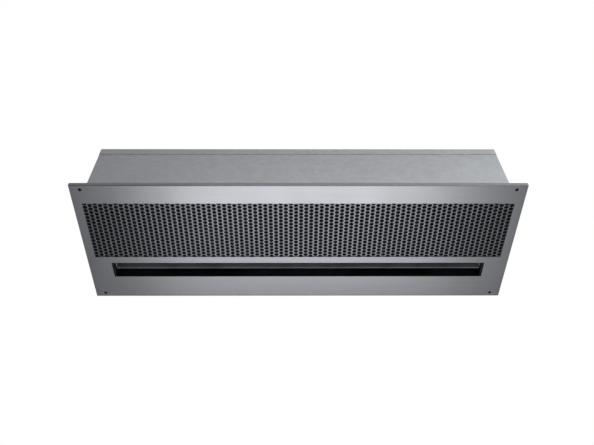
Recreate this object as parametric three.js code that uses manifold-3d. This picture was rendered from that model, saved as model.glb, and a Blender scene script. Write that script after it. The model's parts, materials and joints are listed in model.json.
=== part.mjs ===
// Recessed ceiling air curtain, one metre size. A galvanised casing with two double inlet fans
// stands above the ceiling, and a satin stainless panel closes it below, with a perforated
// intake and a long discharge slot.
// Millimetres. X runs along the length, Y from the intake side to the slot side, Z up.
// The origin is the middle of the panel's lower face.

import * as THREE from 'three';
import { mergeVertices } from 'three/addons/utils/BufferGeometryUtils.js';
import Module from 'manifold-3d';

// ---------------------------------------------------------------- driving sizes

const fitGap = 0.3; // left between two pieces that touch
const turnGap = 0.8; // left round a piece that turns
const overshoot = 1; // a cutting solid reaches this far past a face
const wheelFacets = 16; // flats round a fan wheel and its motor
const boltFacets = 8; // flats round screws, nuts and small holes

// panel
const panelLength = 1056;
const panelWidth = 356;
const panelSheet = 1.2;
const panelLip = 6; // height of the folded edge
const windowFrontMargin = 52;
const windowEndMargin = 22;
const stripWidth = 20; // between window and slot
const slotWidth = 46.5;
const slotEndMargin = 59;
const slotRearMargin = 71;
const screwSideInset = 12.5; // from the long edge to the screw
const screwEndInset = 25; // from the short edge to the screw

// intake grille, filter and their retainers
const grilleSheet = 1.2;
const grilleLap = 8; // grille and filter behind the window's edge
const holePitchX = 30.2; // between two columns of holes
const holePitchY = 25.5; // between two holes of a column
const holeAcrossFlats = 20;
const holeEdgeWeb = 1.5; // least metal outside the last holes
const filterThickness = 3;
const filterMesh = 0.8;
const filterMeshSeat = 1; // inside the frame's outer edge
const filterRim = 9;
const filterRibs = 7;
const retainerSheet = 1.2;
const retainerFoot = 6;
const retainerLip = 8;

// casing
const casingEndInset = 20; // from the panel's short edge to the casing
const casingSideInset = 36; // from the panel's long edge to the casing
const casingSheet = 1.2;
const flangeInset = 1; // from the panel's edge to the casing's foot flange
const cornerFlange = 15; // of an end plate, behind the long walls
const coverSheet = 1;
const coverFlange = 25;
const railWidth = 32;
const railDepth = 20;
const railSheet = 2;
const railFromEnd = 71; // from the casing's end to the middle of a hanging rail
const hangerFromWall = 40; // from the long wall to a hanging nut

// plenum, nozzle and vane
const deckHeight = 60; // top of the plate that the fans stand on
const deckSheet = 1.2;
const deckRearFlange = 15;
const plenumSetback = 2.3; // plenum front wall to the slot's front edge
const nozzleSetback = 2; // nozzle plate behind the slot's rear edge
const nozzleFlange = 14;
const plenumEndInset = 3.5; // plenum end shows this much inside the slot
const plenumEndSheet = 1.5;
const plenumEndFlange = 12;
const vaneChord = 34;
const vaneThickness = 7;
const vaneAxisHeight = 24.5;
const vanePortRadius = 2.2;
const vaneFacets = 16;
const pinRadius = 3;
const pinReach = 12; // of the pin into the vane
const pinProud = 1; // of the pin past its bush
const bushWall = 2.6;
const bushFlange = 2; // beyond the bush's barrel
const bushFlangeThickness = 1.5;
const bushLength = 5; // of the barrel past its flange

// fans
const fanFromEnd = 215.5; // plenum end to the middle of a fan
const wheelRadius = 66.5;
const wheelWidth = 190;
const wheelRing = 2;
const wheelDisc = 1.5;
const bladeCount = 20;
const bladeDepth = 12;
const bladeLead = 5; // of the blade's outer edge, the way the wheel turns
const bladeSheet = 1;
const scrollSheet = 1;
const scrollSideGap = 9; // wheel to scroll side
const cutoffGap = 6; // wheel to the scroll at its tongue
const cutoffAngle = THREE.MathUtils.degToRad(38); // tongue below the axis
const tongueRadius = 5;
const outletWidth = 42;
const outletRise = 3.3; // deck to the tongue's middle
const scrollRim = 2; // of a scroll side round the wrap
const scrollTopGap = 3.3; // scroll to the cover
const inletRadius = 48;
const inletFlare = 8;
const inletLip = 3; // of the inlet ring into the scroll

// motors
const rotorRadius = 36;
const rotorLength = 54;
const rotorWall = 3;
const shaftRadius = 4;
const statorRadius = 30;
const statorFlange = 3;
const statorFlangeInset = 1; // inside the rotor's rim
const sleeveRadius = 9;
const bracketSheet = 2;
const bracketGap = 2; // inlet ring to the bracket's arms
const bracketArmWidth = 14;
const bracketArms = 3;
const bracketFoot = 10;
const bracketHubWall = 4;
const bracketHubLength = 12;
const bracketWeld = 2; // of an arm into the hub

// fasteners
const screwRadius = 2;
const screwHeadRadius = 4;
const screwHeadDepth = 1.4;
const screwLength = 12;
const weldNutAcross = 8;
const hangerBoreRadius = 3.4; // tapped for an M8 rod
const hangerBarrelRadius = 5.5;
const hangerFlangeRadius = 9;
const hangerFlangeThickness = 1.6;
const hangerLength = 14;

// control box
const boxLength = 160;
const boxWidth = 110;
const boxHeight = 60;
const boxSheet = 1;
const boxFromWall = 20; // from the casing's front wall
const lidLip = 10;
const boardFromEnd = 6; // from the box's left end
const boardLength = 84;
const boardWidth = 80;
const boardThickness = 1.6;
const standoffHeight = 9;
const standoffRadius = 3;
const relaySize = [18, 14, 15]; // length, width, height
const relayPitch = 22;
const relayInset = [14, 8]; // from the board's left and front edges
const transformerSize = [32, 28, 26];
const transformerInset = [14, 34];
const receiverSize = [14, 20, 6];
const receiverInset = [56, 50];
const capacitorRadius = 13;
const capacitorHeight = 40;
const capacitorStud = 4;
const capacitorGap = 10; // between the two
const capacitorFromBoard = 4;
const terminalLength = 60;
const terminalWidth = 20;
const terminalHeight = 16;
const terminalPoles = 5;
const terminalRib = 2;
const terminalInset = 4; // from the box's inner faces
const glandRadius = 10;
const glandNutRadius = 14;
const glandHeight = 22;
const glandBoreRadius = 5;
const glandThread = 9; // below the box's roof
const glandShoulder = 2; // step from the hexagon to the cap
const glandCapTaper = 3;
const glandInset = 8; // gland to the box's edges
const locknutHeight = 5;
const leadHoleRadius = 8;

// ---------------------------------------------------------------- sizes worked out

const panelHalfX = panelLength / 2;
const panelHalfY = panelWidth / 2;
const windowHalfX = panelHalfX - windowEndMargin;
const windowFront = windowFrontMargin - panelHalfY;
const slotHalfX = panelHalfX - slotEndMargin;
const slotRear = panelHalfY - slotRearMargin;
const slotFront = slotRear - slotWidth;
const windowRear = slotFront - stripWidth;
const panelBack = panelSheet + fitGap; // where pieces on the panel's back start
const footBottom = panelLip + fitGap; // the casing's foot flange stands on the folded edge

const grilleTop = panelBack + grilleSheet;
const filterBottom = grilleTop + fitGap;
const filterTop = filterBottom + filterThickness;

// the scroll is a spiral round the wheel that ends at the outlet's outer wall
const tongueDistance = wheelRadius + cutoffGap + tongueRadius;
const tongueY = tongueDistance * Math.cos(cutoffAngle);
const tongueDrop = tongueDistance * Math.sin(cutoffAngle);
const outletInner = tongueY + tongueRadius;
const outletOuter = outletInner + outletWidth;
const scrollSweep = 2 * Math.PI - cutoffAngle;
const scrollGrowth = Math.log(outletOuter / (wheelRadius + cutoffGap)) / scrollSweep;
const scrollRadius = (swept) => (wheelRadius + cutoffGap) * Math.exp(scrollGrowth * swept);
const scrollTopRadius = scrollRadius(1.5 * Math.PI - cutoffAngle);
const scrollHalfX = wheelWidth / 2 + scrollSideGap + scrollSheet;
const bracketUnder = scrollHalfX + inletFlare + bracketGap; // fan's middle to the bracket's arms
const axisY = slotFront - outletInner;
const axisZ = deckHeight + outletRise + tongueDrop;

const casingHeight = axisZ + scrollTopRadius + scrollSheet + scrollRim + scrollTopGap + coverSheet;
const coverUnder = casingHeight - coverSheet;
const coverHalfX = panelHalfX - casingEndInset;
const coverHalfY = panelHalfY - casingSideInset;
const wallOuterX = coverHalfX - coverSheet - fitGap;
const wallOuterY = coverHalfY - coverSheet - fitGap;
const wallTop = coverUnder - fitGap;
const wallInnerY = wallOuterY - casingSheet;
const endInnerX = wallOuterX - casingSheet;
const flangeHalfX = panelHalfX - flangeInset;
const flangeHalfY = panelHalfY - flangeInset;

const screwX = panelHalfX - screwEndInset;
const screwY = panelHalfY - screwSideInset;
const railX = coverHalfX - railFromEnd;
const hangerY = coverHalfY - hangerFromWall;

const plenumFrontInner = slotFront - plenumSetback;
const plenumFront = plenumFrontInner - deckSheet;
const nozzleFront = Math.max(slotRear, axisY + outletOuter) + nozzleSetback;
const deckHalfX = endInnerX - fitGap;
const deckRear = wallInnerY - fitGap - casingSheet - fitGap;
const deckUnder = deckHeight - deckSheet;

const plenumEndX = slotHalfX - plenumEndInset; // inner face
const fanX = plenumEndX - fanFromEnd;
const vaneY = (slotFront + slotRear) / 2;
const bushRadius = pinRadius + bushWall;
const bushInnerX = plenumEndX - fitGap - bushFlangeThickness;
const vaneHalfX = bushInnerX - turnGap * 2;

const boxTop = wallTop;
const boxBottom = boxTop - boxHeight;
const boxFront = boxFromWall - wallInnerY;
const boxRear = boxFront + boxWidth;
const boxMiddleY = (boxFront + boxRear) / 2;
const glandX = boxLength / 2 - glandNutRadius - glandInset;
const glandY = boxRear - glandNutRadius - glandInset;

// ---------------------------------------------------------------- solids

const wasm = await Module();
wasm.setup();

/** A closed mesh as a solid that can be joined and cut. */
function solid(geometry) {
  const bare = geometry.clone();
  bare.deleteAttribute('normal');
  bare.deleteAttribute('uv');
  const merged = mergeVertices(bare, 1e-4);
  const corners = merged.index.array;
  const kept = [];
  for (let i = 0; i < corners.length; i += 3) {
    const [a, b, c] = corners.slice(i, i + 3);
    if (a !== b && b !== c && c !== a) kept.push(a, b, c);
  }
  const vertProperties = new Float32Array(merged.attributes.position.array);
  const triVerts = new Uint32Array(kept);
  return new wasm.Manifold(new wasm.Mesh({ numProp: 3, vertProperties, triVerts }));
}

/** A solid back as geometry with flat faces. */
function geometryOf(body) {
  const { vertProperties, triVerts } = body.getMesh();
  const geometry = new THREE.BufferGeometry();
  geometry.setAttribute('position', new THREE.BufferAttribute(vertProperties, 3));
  geometry.setIndex(new THREE.BufferAttribute(triVerts, 1));
  geometry.computeVertexNormals();
  return geometry;
}

const join = (first, ...others) => others.reduce((body, other) => body.add(other), first);
const cut = (first, ...others) => others.reduce((body, other) => body.subtract(other), first);

/** A box between two opposite corners. */
function block([x0, y0, z0], [x1, y1, z1]) {
  const geometry = new THREE.BoxGeometry(x1 - x0, y1 - y0, z1 - z0);
  geometry.translate((x0 + x1) / 2, (y0 + y1) / 2, (z0 + z1) / 2);
  return solid(geometry);
}

/** A flat shape in X and Y, made thick upward from a height. */
function plate(shape, bottom, thickness) {
  const geometry = new THREE.ExtrudeGeometry(shape, { depth: thickness, bevelEnabled: false });
  geometry.translate(0, 0, bottom);
  return solid(geometry);
}

/** A section in Y and Z, drawn out along X between two ends. */
function drawnOut(shape, from, to) {
  const geometry = new THREE.ExtrudeGeometry(shape, { depth: to - from, bevelEnabled: false });
  const alongX = new THREE.Matrix4().makeBasis(
    new THREE.Vector3(0, 1, 0), new THREE.Vector3(0, 0, 1), new THREE.Vector3(1, 0, 0));
  geometry.applyMatrix4(alongX);
  geometry.translate(from, 0, 0);
  return solid(geometry);
}

/** A profile of [radius, height] points turned round the Z axis through a point. */
function turned(profile, segments, x = 0, y = 0) {
  const points = profile.map(([radius, height]) => new THREE.Vector2(radius, height));
  if (THREE.ShapeUtils.area(points) < 0) points.reverse();
  const onAxis = points[0].x === 0 && points[points.length - 1].x === 0;
  if (!onAxis) points.push(points[0].clone());
  const geometry = new THREE.LatheGeometry(points, segments);
  geometry.rotateX(Math.PI / 2);
  geometry.translate(x, y, 0);
  return solid(geometry);
}

/** The same, turned round an axis along X, so the profile is [radius, x]. */
function turnedAlongX(profile, segments, y, z) {
  const upright = geometryOf(turned(profile, segments));
  upright.rotateY(Math.PI / 2);
  upright.translate(0, y, z);
  return solid(upright);
}

/** A round bar or hole along Z. */
function bar(radius, bottom, top, segments, x = 0, y = 0) {
  return turned([[0, bottom], [radius, bottom], [radius, top], [0, top]], segments, x, y);
}

/** The section of sheet metal folded along a middle line of [y, z] points. */
function foldedSheet(line, sheet) {
  const points = line.map(([y, z]) => new THREE.Vector2(y, z));
  const sides = points.slice(1).map((point, i) => {
    const along = point.clone().sub(points[i]).normalize();
    return new THREE.Vector2(-along.y, along.x);
  });
  const offset = (distance) => points.map((point, i) => {
    const before = sides[Math.max(i - 1, 0)];
    const after = sides[Math.min(i, sides.length - 1)];
    const mitre = before.clone().add(after).multiplyScalar(distance / (1 + before.dot(after)));
    return point.clone().add(mitre);
  });
  return new THREE.Shape([...offset(sheet / 2), ...offset(-sheet / 2).reverse()]);
}

/** A closed outline of [a, b] points. */
const outline = (points) => new THREE.Shape(points.map(([a, b]) => new THREE.Vector2(a, b)));

/** A rectangle as a path, used as a window in a shape. */
function rectangle(x0, y0, x1, y1) {
  return new THREE.Path([[x0, y0], [x1, y0], [x1, y1], [x0, y1]].map(([x, y]) => new THREE.Vector2(x, y)));
}

/** Corner points of a regular polygon. */
function polygon(sides, radius, x, y, turn = 0) {
  return Array.from({ length: sides }, (_, i) => {
    const angle = turn + (2 * Math.PI * i) / sides;
    return [x + radius * Math.cos(angle), y + radius * Math.sin(angle)];
  });
}

// ---------------------------------------------------------------- finishes

const finishes = {
  stainless: { color: 0xb9bcc0, roughness: 0.35, metalness: 1 },
  grilleStainless: { color: 0xa9adb2, roughness: 0.4, metalness: 1 },
  galvanised: { color: 0x979ca1, roughness: 0.55, metalness: 0.9 },
  blackPaint: { color: 0x101215, roughness: 0.5, metalness: 0.2 },
  greyAluminium: { color: 0x9ba0a6, roughness: 0.5, metalness: 0.7 },
  blackenedSteel: { color: 0x3a3a3e, roughness: 0.4, metalness: 0.9 },
  zincSteel: { color: 0xb8b8b4, roughness: 0.4, metalness: 0.9 },
  filterBlack: { color: 0x15171a, roughness: 0.9, metalness: 0 },
  motorBlack: { color: 0x1d1f22, roughness: 0.6, metalness: 0.4 },
  statorSteel: { color: 0x6f7276, roughness: 0.5, metalness: 0.8 },
  nylon: { color: 0xd9d6cc, roughness: 0.5, metalness: 0 },
  circuitGreen: { color: 0x1f5a3a, roughness: 0.5, metalness: 0 },
  capacitorWhite: { color: 0xdfdfda, roughness: 0.45, metalness: 0 },
  glandGrey: { color: 0x6b6f73, roughness: 0.55, metalness: 0 },
};

const airCurtain = new THREE.Group();

/** Puts a finished solid into the assembly under its own name. */
function place(name, body, finish, group = airCurtain) {
  const mesh = new THREE.Mesh(geometryOf(body), new THREE.MeshStandardMaterial(finishes[finish]));
  mesh.name = name;
  group.add(mesh);
  return mesh;
}

const ends = [['left', -1], ['right', 1]];
const corners = [
  ['front_left', -1, -1], ['front_right', 1, -1], ['rear_left', -1, 1], ['rear_right', 1, 1],
];

// ---------------------------------------------------------------- panel

/** The countersunk screw's profile, from its flush head up. */
function screwProfile(clearance) {
  const head = screwHeadRadius + clearance;
  const shank = screwRadius + clearance;
  return [[0, 0], [head, 0], [shank, screwHeadDepth], [shank, screwLength], [0, screwLength]];
}

function frontPanel() {
  const face = outline([
    [-panelHalfX, -panelHalfY], [panelHalfX, -panelHalfY],
    [panelHalfX, panelHalfY], [-panelHalfX, panelHalfY],
  ]);
  face.holes.push(rectangle(-windowHalfX, windowFront, windowHalfX, windowRear));
  face.holes.push(rectangle(-slotHalfX, slotFront, slotHalfX, slotRear));
  const outer = block([-panelHalfX, -panelHalfY, 0], [panelHalfX, panelHalfY, panelLip]);
  const innerX = panelHalfX - panelSheet;
  const innerY = panelHalfY - panelSheet;
  const edge = cut(outer, block([-innerX, -innerY, -overshoot], [innerX, innerY, panelLip + overshoot]));
  const screwHoles = corners.map(([, sideX, sideY]) =>
    turned(screwProfile(fitGap), boltFacets, sideX * screwX, sideY * screwY));
  return cut(join(plate(face, 0, panelSheet), edge), ...screwHoles);
}

function panelScrew(sideX, sideY) {
  return turned(screwProfile(0), boltFacets, sideX * screwX, sideY * screwY);
}

/** The threaded spacer under the casing's foot flange, which the panel is drawn up to. */
function weldNut(sideX, sideY) {
  const x = sideX * screwX;
  const y = sideY * screwY;
  const hexagon = outline(polygon(6, weldNutAcross / Math.sqrt(3), x, y));
  hexagon.holes.push(new THREE.Path(
    polygon(boltFacets, screwRadius + fitGap, x, y).map(([a, b]) => new THREE.Vector2(a, b))));
  return plate(hexagon, panelBack, footBottom - fitGap - panelBack);
}

// ---------------------------------------------------------------- intake

/** The middles of the holes: columns that step by half a pitch, as far as whole holes fit. */
function holeMiddles(halfX, halfY) {
  const holeHalfX = holeAcrossFlats / Math.sqrt(3);
  const roomX = halfX - holeHalfX - holeEdgeWeb;
  const roomY = halfY - holeAcrossFlats / 2 - holeEdgeWeb;
  const lastColumn = Math.floor(roomX / holePitchX);
  const middles = [];
  for (let column = -lastColumn; column <= lastColumn; column += 1) {
    const stagger = Math.abs(column) % 2 === 0 ? holePitchY / 2 : 0;
    const lastHole = Math.floor((roomY - stagger) / holePitchY);
    const firstHole = stagger === 0 ? -lastHole : -lastHole - 1;
    for (let hole = firstHole; hole <= lastHole; hole += 1) {
      middles.push([column * holePitchX, hole * holePitchY + stagger]);
    }
  }
  return middles;
}

function intakeGrille() {
  const halfX = windowHalfX + grilleLap;
  const halfY = (windowRear - windowFront) / 2 + grilleLap;
  const middleY = (windowFront + windowRear) / 2;
  const sheet = outline([
    [-halfX, middleY - halfY], [halfX, middleY - halfY],
    [halfX, middleY + halfY], [-halfX, middleY + halfY],
  ]);
  for (const [x, y] of holeMiddles(halfX, halfY)) {
    const corner = polygon(6, holeAcrossFlats / Math.sqrt(3), x, middleY + y);
    sheet.holes.push(new THREE.Path(corner.map(([a, b]) => new THREE.Vector2(a, b))));
  }
  return plate(sheet, panelBack, grilleSheet);
}

/** A rim and cross ribs with a fine mesh in the middle of their thickness. */
function airFilter() {
  const halfX = windowHalfX + grilleLap;
  const front = windowFront - grilleLap;
  const rear = windowRear + grilleLap;
  const bay = (2 * halfX - filterRim * (filterRibs + 2)) / (filterRibs + 1);
  const bays = Array.from({ length: filterRibs + 1 }, (_, i) => {
    const start = filterRim - halfX + i * (bay + filterRim);
    return block([start, front + filterRim, filterBottom - overshoot],
      [start + bay, rear - filterRim, filterTop + overshoot]);
  });
  const frame = cut(block([-halfX, front, filterBottom], [halfX, rear, filterTop]), ...bays);
  const meshBottom = filterBottom + (filterThickness - filterMesh) / 2;
  const meshHalfX = halfX - filterMeshSeat;
  const mesh = block([-meshHalfX, front + filterMeshSeat, meshBottom],
    [meshHalfX, rear - filterMeshSeat, meshBottom + filterMesh]);
  return join(frame, mesh);
}

/** A strip with a foot on the panel, a step up and a lip over the filter's edge. */
function grilleRetainer(edge, outward) {
  const footLine = panelBack + retainerSheet / 2;
  const lipLine = filterTop + fitGap + retainerSheet / 2;
  const stepLine = edge + outward * (fitGap + retainerSheet / 2);
  const section = foldedSheet([
    [stepLine + outward * retainerFoot, footLine], [stepLine, footLine],
    [stepLine, lipLine], [stepLine - outward * retainerLip, lipLine],
  ], retainerSheet);
  const half = endInnerX - cornerFlange - fitGap;
  return drawnOut(section, -half, half);
}

// ---------------------------------------------------------------- casing

/** A long wall with its foot flange on the panel, side -1 in front and 1 behind. */
function longWall(side) {
  const near = side < 0 ? -wallOuterY : wallInnerY;
  const wall = block([-wallOuterX, near, footBottom], [wallOuterX, near + casingSheet, wallTop]);
  const foot = [side * flangeHalfY, side * wallInnerY].sort((a, b) => a - b);
  const flange = block([-flangeHalfX, foot[0], footBottom],
    [flangeHalfX, foot[1], footBottom + casingSheet]);
  const holes = ends.map(([, end]) =>
    bar(screwRadius + fitGap, 0, deckHeight, boltFacets, end * screwX, side * screwY));
  return cut(join(wall, flange), ...holes);
}

/** An end plate with a foot flange outside and corner flanges behind the long walls. */
function endPlate(side) {
  const reach = wallInnerY - fitGap;
  const lowX = Math.min(side * endInnerX, side * wallOuterX);
  const wall = block([lowX, -reach, footBottom], [lowX + casingSheet, reach, wallTop]);
  const flangeLow = Math.min(side * endInnerX, side * flangeHalfX);
  const flangeHigh = Math.max(side * endInnerX, side * flangeHalfX);
  const flange = block([flangeLow, -reach, footBottom], [flangeHigh, reach, footBottom + casingSheet]);
  const cornerX = [side * wallOuterX, side * (wallOuterX - cornerFlange)].sort((a, b) => a - b);
  const cornerPieces = [-1, 1].map((edge) => {
    const cornerY = [edge * reach, edge * (reach - casingSheet)].sort((a, b) => a - b);
    return block([cornerX[0], cornerY[0], footBottom], [cornerX[1], cornerY[1], wallTop]);
  });
  return join(wall, flange, ...cornerPieces);
}

function topCover() {
  const outer = block([-coverHalfX, -coverHalfY, casingHeight - coverFlange],
    [coverHalfX, coverHalfY, casingHeight]);
  const innerX = coverHalfX - coverSheet;
  const innerY = coverHalfY - coverSheet;
  const inside = block([-innerX, -innerY, 0], [innerX, innerY, coverUnder]);
  const holes = corners.map(([, sideX, sideY]) =>
    bar(hangerBarrelRadius + fitGap, coverUnder - overshoot, casingHeight + overshoot,
      boltFacets, sideX * railX, sideY * hangerY));
  const glandHole = bar(glandRadius + fitGap, coverUnder - overshoot, casingHeight + overshoot,
    boltFacets, glandX, glandY);
  return cut(outer, inside, ...holes, glandHole);
}

/** A channel across the casing under the cover, which the hanging nuts are set in. */
function hangingRail(side) {
  const top = wallTop - railSheet / 2;
  const reach = railWidth / 2 - railSheet / 2;
  const section = foldedSheet([
    [-reach, wallTop - railDepth], [-reach, top], [reach, top], [reach, wallTop - railDepth],
  ], railSheet);
  const half = wallInnerY - fitGap;
  const channel = geometryOf(drawnOut(section, -half, half));
  channel.rotateZ(Math.PI / 2);
  channel.translate(side * railX, 0, 0);
  const holes = [-1, 1].map((edge) =>
    bar(hangerBarrelRadius + fitGap, wallTop - railDepth, wallTop + overshoot,
      boltFacets, side * railX, edge * hangerY));
  return cut(solid(channel), ...holes);
}

function hangingNut(sideX, sideY) {
  const under = casingHeight + fitGap;
  const top = under + hangerFlangeThickness;
  const profile = [
    [hangerBoreRadius, top - hangerLength], [hangerBarrelRadius, top - hangerLength],
    [hangerBarrelRadius, under], [hangerFlangeRadius, under],
    [hangerFlangeRadius, top], [hangerBoreRadius, top],
  ];
  return turned(profile, boltFacets, sideX * railX, sideY * hangerY);
}

// ---------------------------------------------------------------- plenum and vane

/** The folded plate that carries the fans: plenum front wall, deck and rear flange. */
function plenumDeck() {
  const half = deckSheet / 2;
  const section = foldedSheet([
    [plenumFront + half, panelBack], [plenumFront + half, deckHeight - half],
    [deckRear - half, deckHeight - half], [deckRear - half, deckHeight - deckRearFlange],
  ], deckSheet);
  const inside = scrollHalfX - scrollSheet;
  const outlets = ends.map(([, side]) => block(
    [side * fanX - inside, axisY + outletInner, deckUnder - overshoot],
    [side * fanX + inside, axisY + outletOuter, deckHeight + overshoot]));
  return cut(drawnOut(section, -deckHalfX, deckHalfX), ...outlets);
}

function nozzleRearPlate() {
  const web = nozzleFront + deckSheet / 2;
  const bottom = panelBack + deckSheet / 2;
  const top = deckUnder - fitGap - deckSheet / 2;
  const section = foldedSheet([
    [web + nozzleFlange, bottom], [web, bottom], [web, top], [web + nozzleFlange, top],
  ], deckSheet);
  return drawnOut(section, -deckHalfX, deckHalfX);
}

/** Closes one end of the nozzle and holds the vane's bush. */
function plenumEnd(side) {
  const front = plenumFrontInner + fitGap;
  const rear = nozzleFront - fitGap;
  const top = deckUnder - fitGap;
  const line = [
    [side * (plenumEndX + plenumEndSheet / 2), panelBack],
    [side * (plenumEndX + plenumEndSheet / 2), top - plenumEndSheet / 2],
    [side * (plenumEndX + plenumEndFlange), top - plenumEndSheet / 2],
  ];
  const angle = geometryOf(drawnOut(foldedSheet(line, plenumEndSheet), -rear, -front));
  angle.rotateZ(-Math.PI / 2);
  const holeStart = side * (plenumEndX - overshoot);
  const holeEnd = side * (plenumEndX + plenumEndSheet + overshoot);
  const hole = turnedAlongX([
    [0, holeStart], [bushRadius + fitGap, holeStart], [bushRadius + fitGap, holeEnd], [0, holeEnd],
  ], boltFacets, vaneY, vaneAxisHeight);
  return cut(solid(angle), hole);
}

function vaneBush(side) {
  const inner = side * bushInnerX;
  const shoulder = side * (bushInnerX + bushFlangeThickness);
  const outer = side * (bushInnerX + bushFlangeThickness + bushLength);
  const bore = pinRadius + turnGap / 2;
  const rim = bushRadius + bushFlange;
  return turnedAlongX([
    [bore, inner], [rim, inner], [rim, shoulder],
    [bushRadius, shoulder], [bushRadius, outer], [bore, outer],
  ], boltFacets, vaneY, vaneAxisHeight);
}

function vanePin(side) {
  const spigot = vanePortRadius - fitGap;
  const start = side * (vaneHalfX - pinReach);
  const shoulder = side * (vaneHalfX + fitGap);
  const end = side * (bushInnerX + bushFlangeThickness + bushLength + pinProud);
  const profile = [
    [0, start], [spigot, start], [spigot, shoulder], [pinRadius, shoulder], [pinRadius, end], [0, end],
  ];
  return turnedAlongX(profile, boltFacets, vaneY, vaneAxisHeight);
}

/** A thin aerofoil with a round port along its pivot line. */
function dischargeVane() {
  const points = Array.from({ length: vaneFacets }, (_, i) => {
    const angle = (2 * Math.PI * i) / vaneFacets;
    const thin = Math.cos(angle) * Math.abs(Math.cos(angle));
    return [vaneY + (vaneThickness / 2) * thin, vaneAxisHeight + (vaneChord / 2) * Math.sin(angle)];
  });
  const section = outline(points);
  const port = polygon(boltFacets, vanePortRadius, vaneY, vaneAxisHeight);
  section.holes.push(new THREE.Path(port.map(([a, b]) => new THREE.Vector2(a, b))));
  return drawnOut(section, -vaneHalfX, vaneHalfX);
}

// ---------------------------------------------------------------- fans

/** A point of the scroll's spiral, at an angle swept from the tongue and a distance outside it. */
function scrollPoint(swept, outside) {
  const angle = -cutoffAngle - swept;
  const radius = scrollRadius(swept) + outside;
  return [axisY + radius * Math.cos(angle), axisZ + radius * Math.sin(angle)];
}

/** The scroll's curved band: outlet front wall, rounded tongue, spiral and outlet rear wall. */
function scrollWrap(middleX) {
  const bottom = deckHeight + fitGap;
  const half = scrollSheet / 2;
  const line = [[axisY + outletInner - half, bottom]];
  const turnSteps = 4;
  for (let i = 0; i <= turnSteps; i += 1) {
    const angle = ((Math.PI - cutoffAngle) * i) / turnSteps;
    const radius = tongueRadius - half;
    line.push([axisY + tongueY + radius * Math.cos(angle), axisZ - tongueDrop + radius * Math.sin(angle)]);
  }
  const spiralSteps = 16;
  for (let i = 1; i <= spiralSteps; i += 1) line.push(scrollPoint((scrollSweep * i) / spiralSteps, half));
  line.push([axisY + outletOuter + half, bottom]);
  const reach = scrollHalfX - scrollSheet - fitGap;
  return drawnOut(foldedSheet(line, scrollSheet), middleX - reach, middleX + reach);
}

/** A side of the scroll with a flared inlet ring, facing out on the given side of the fan. */
function scrollSide(middleX, side) {
  const bottom = deckHeight + fitGap;
  const rim = scrollSheet + scrollRim;
  const firstSwept = cutoffAngle / 2;
  const steps = 16;
  const points = [];
  for (let i = 0; i <= steps; i += 1) {
    points.push(scrollPoint(firstSwept + ((scrollSweep - firstSwept) * i) / steps, rim));
  }
  points.push([axisY + outletOuter + rim, bottom], [plenumFront - fitGap, bottom]);
  const inner = middleX + side * (scrollHalfX - scrollSheet);
  const outer = middleX + side * scrollHalfX;
  const wall = drawnOut(outline(points), Math.min(inner, outer), Math.max(inner, outer));
  const opening = turnedAlongX([
    [0, inner - side], [inletRadius, inner - side], [inletRadius, outer + side], [0, outer + side],
  ], wheelFacets, axisY, axisZ);
  const ring = turnedAlongX([
    [inletRadius, inner - side * inletLip], [inletRadius, outer],
    [inletRadius + inletFlare, outer + side * inletFlare],
    [inletRadius + inletFlare + scrollSheet, outer + side * inletFlare],
    [inletRadius + 2 * scrollSheet, outer], [inletRadius + scrollSheet, inner - side * inletLip],
  ], wheelFacets, axisY, axisZ);
  return join(cut(wall, opening), ring);
}

/** Forward curved blades between two end rings, with a disc in the middle for the rotor. */
function fanWheel(middleX) {
  const half = wheelWidth / 2;
  const bladeInner = wheelRadius - bladeDepth;
  const washer = (bore, from, to) => turnedAlongX([
    [bore, from], [wheelRadius, from], [wheelRadius, to], [bore, to],
  ], wheelFacets, 0, 0);
  const rings = [
    washer(bladeInner, -half, wheelRing - half), washer(bladeInner, half - wheelRing, half),
    washer(rotorRadius + fitGap, -wheelDisc / 2, wheelDisc / 2),
  ];
  const rim = wheelRadius * Math.cos(Math.PI / wheelFacets) - bladeSheet;
  const section = foldedSheet([
    [bladeInner + bladeSheet, 0], [(bladeInner + rim) / 2, -bladeLead / 4],
    [Math.sqrt(rim * rim - bladeLead * bladeLead), -bladeLead],
  ], bladeSheet);
  const blade = geometryOf(drawnOut(section, wheelRing / 2 - half, half - wheelRing / 2));
  const blades = Array.from({ length: bladeCount }, (_, i) =>
    solid(blade.clone().rotateX((2 * Math.PI * i) / bladeCount)));
  const wheel = geometryOf(join(...rings, ...blades));
  wheel.translate(middleX, axisY, axisZ);
  return solid(wheel);
}

/** The motor's outer cup, with the shaft that runs in the stator. */
function motorRotor(middleX, side) {
  const closed = middleX - side * (rotorLength / 2);
  const open = middleX + side * (rotorLength / 2);
  const floor = closed + side * rotorWall;
  return turnedAlongX([
    [0, closed], [rotorRadius, closed], [rotorRadius, open], [rotorRadius - rotorWall, open],
    [rotorRadius - rotorWall, floor], [shaftRadius, floor], [shaftRadius, open], [0, open],
  ], wheelFacets, axisY, axisZ);
}

/** The wound core inside the cup, its flange, and the sleeve that the bracket clamps. */
function motorStator(middleX, side) {
  const at = (distance) => middleX + side * distance;
  const open = rotorLength / 2;
  const flange = open + turnGap;
  const flangeRadius = rotorRadius - statorFlangeInset;
  const end = bracketUnder + bracketHubLength;
  const bore = shaftRadius + turnGap;
  return turnedAlongX([
    [bore, at(rotorWall + turnGap - open)], [statorRadius, at(rotorWall + turnGap - open)],
    [statorRadius, at(flange)], [flangeRadius, at(flange)], [flangeRadius, at(flange + statorFlange)],
    [sleeveRadius, at(flange + statorFlange)], [sleeveRadius, at(end)], [bore, at(end)],
  ], wheelFacets, axisY, axisZ);
}

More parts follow.
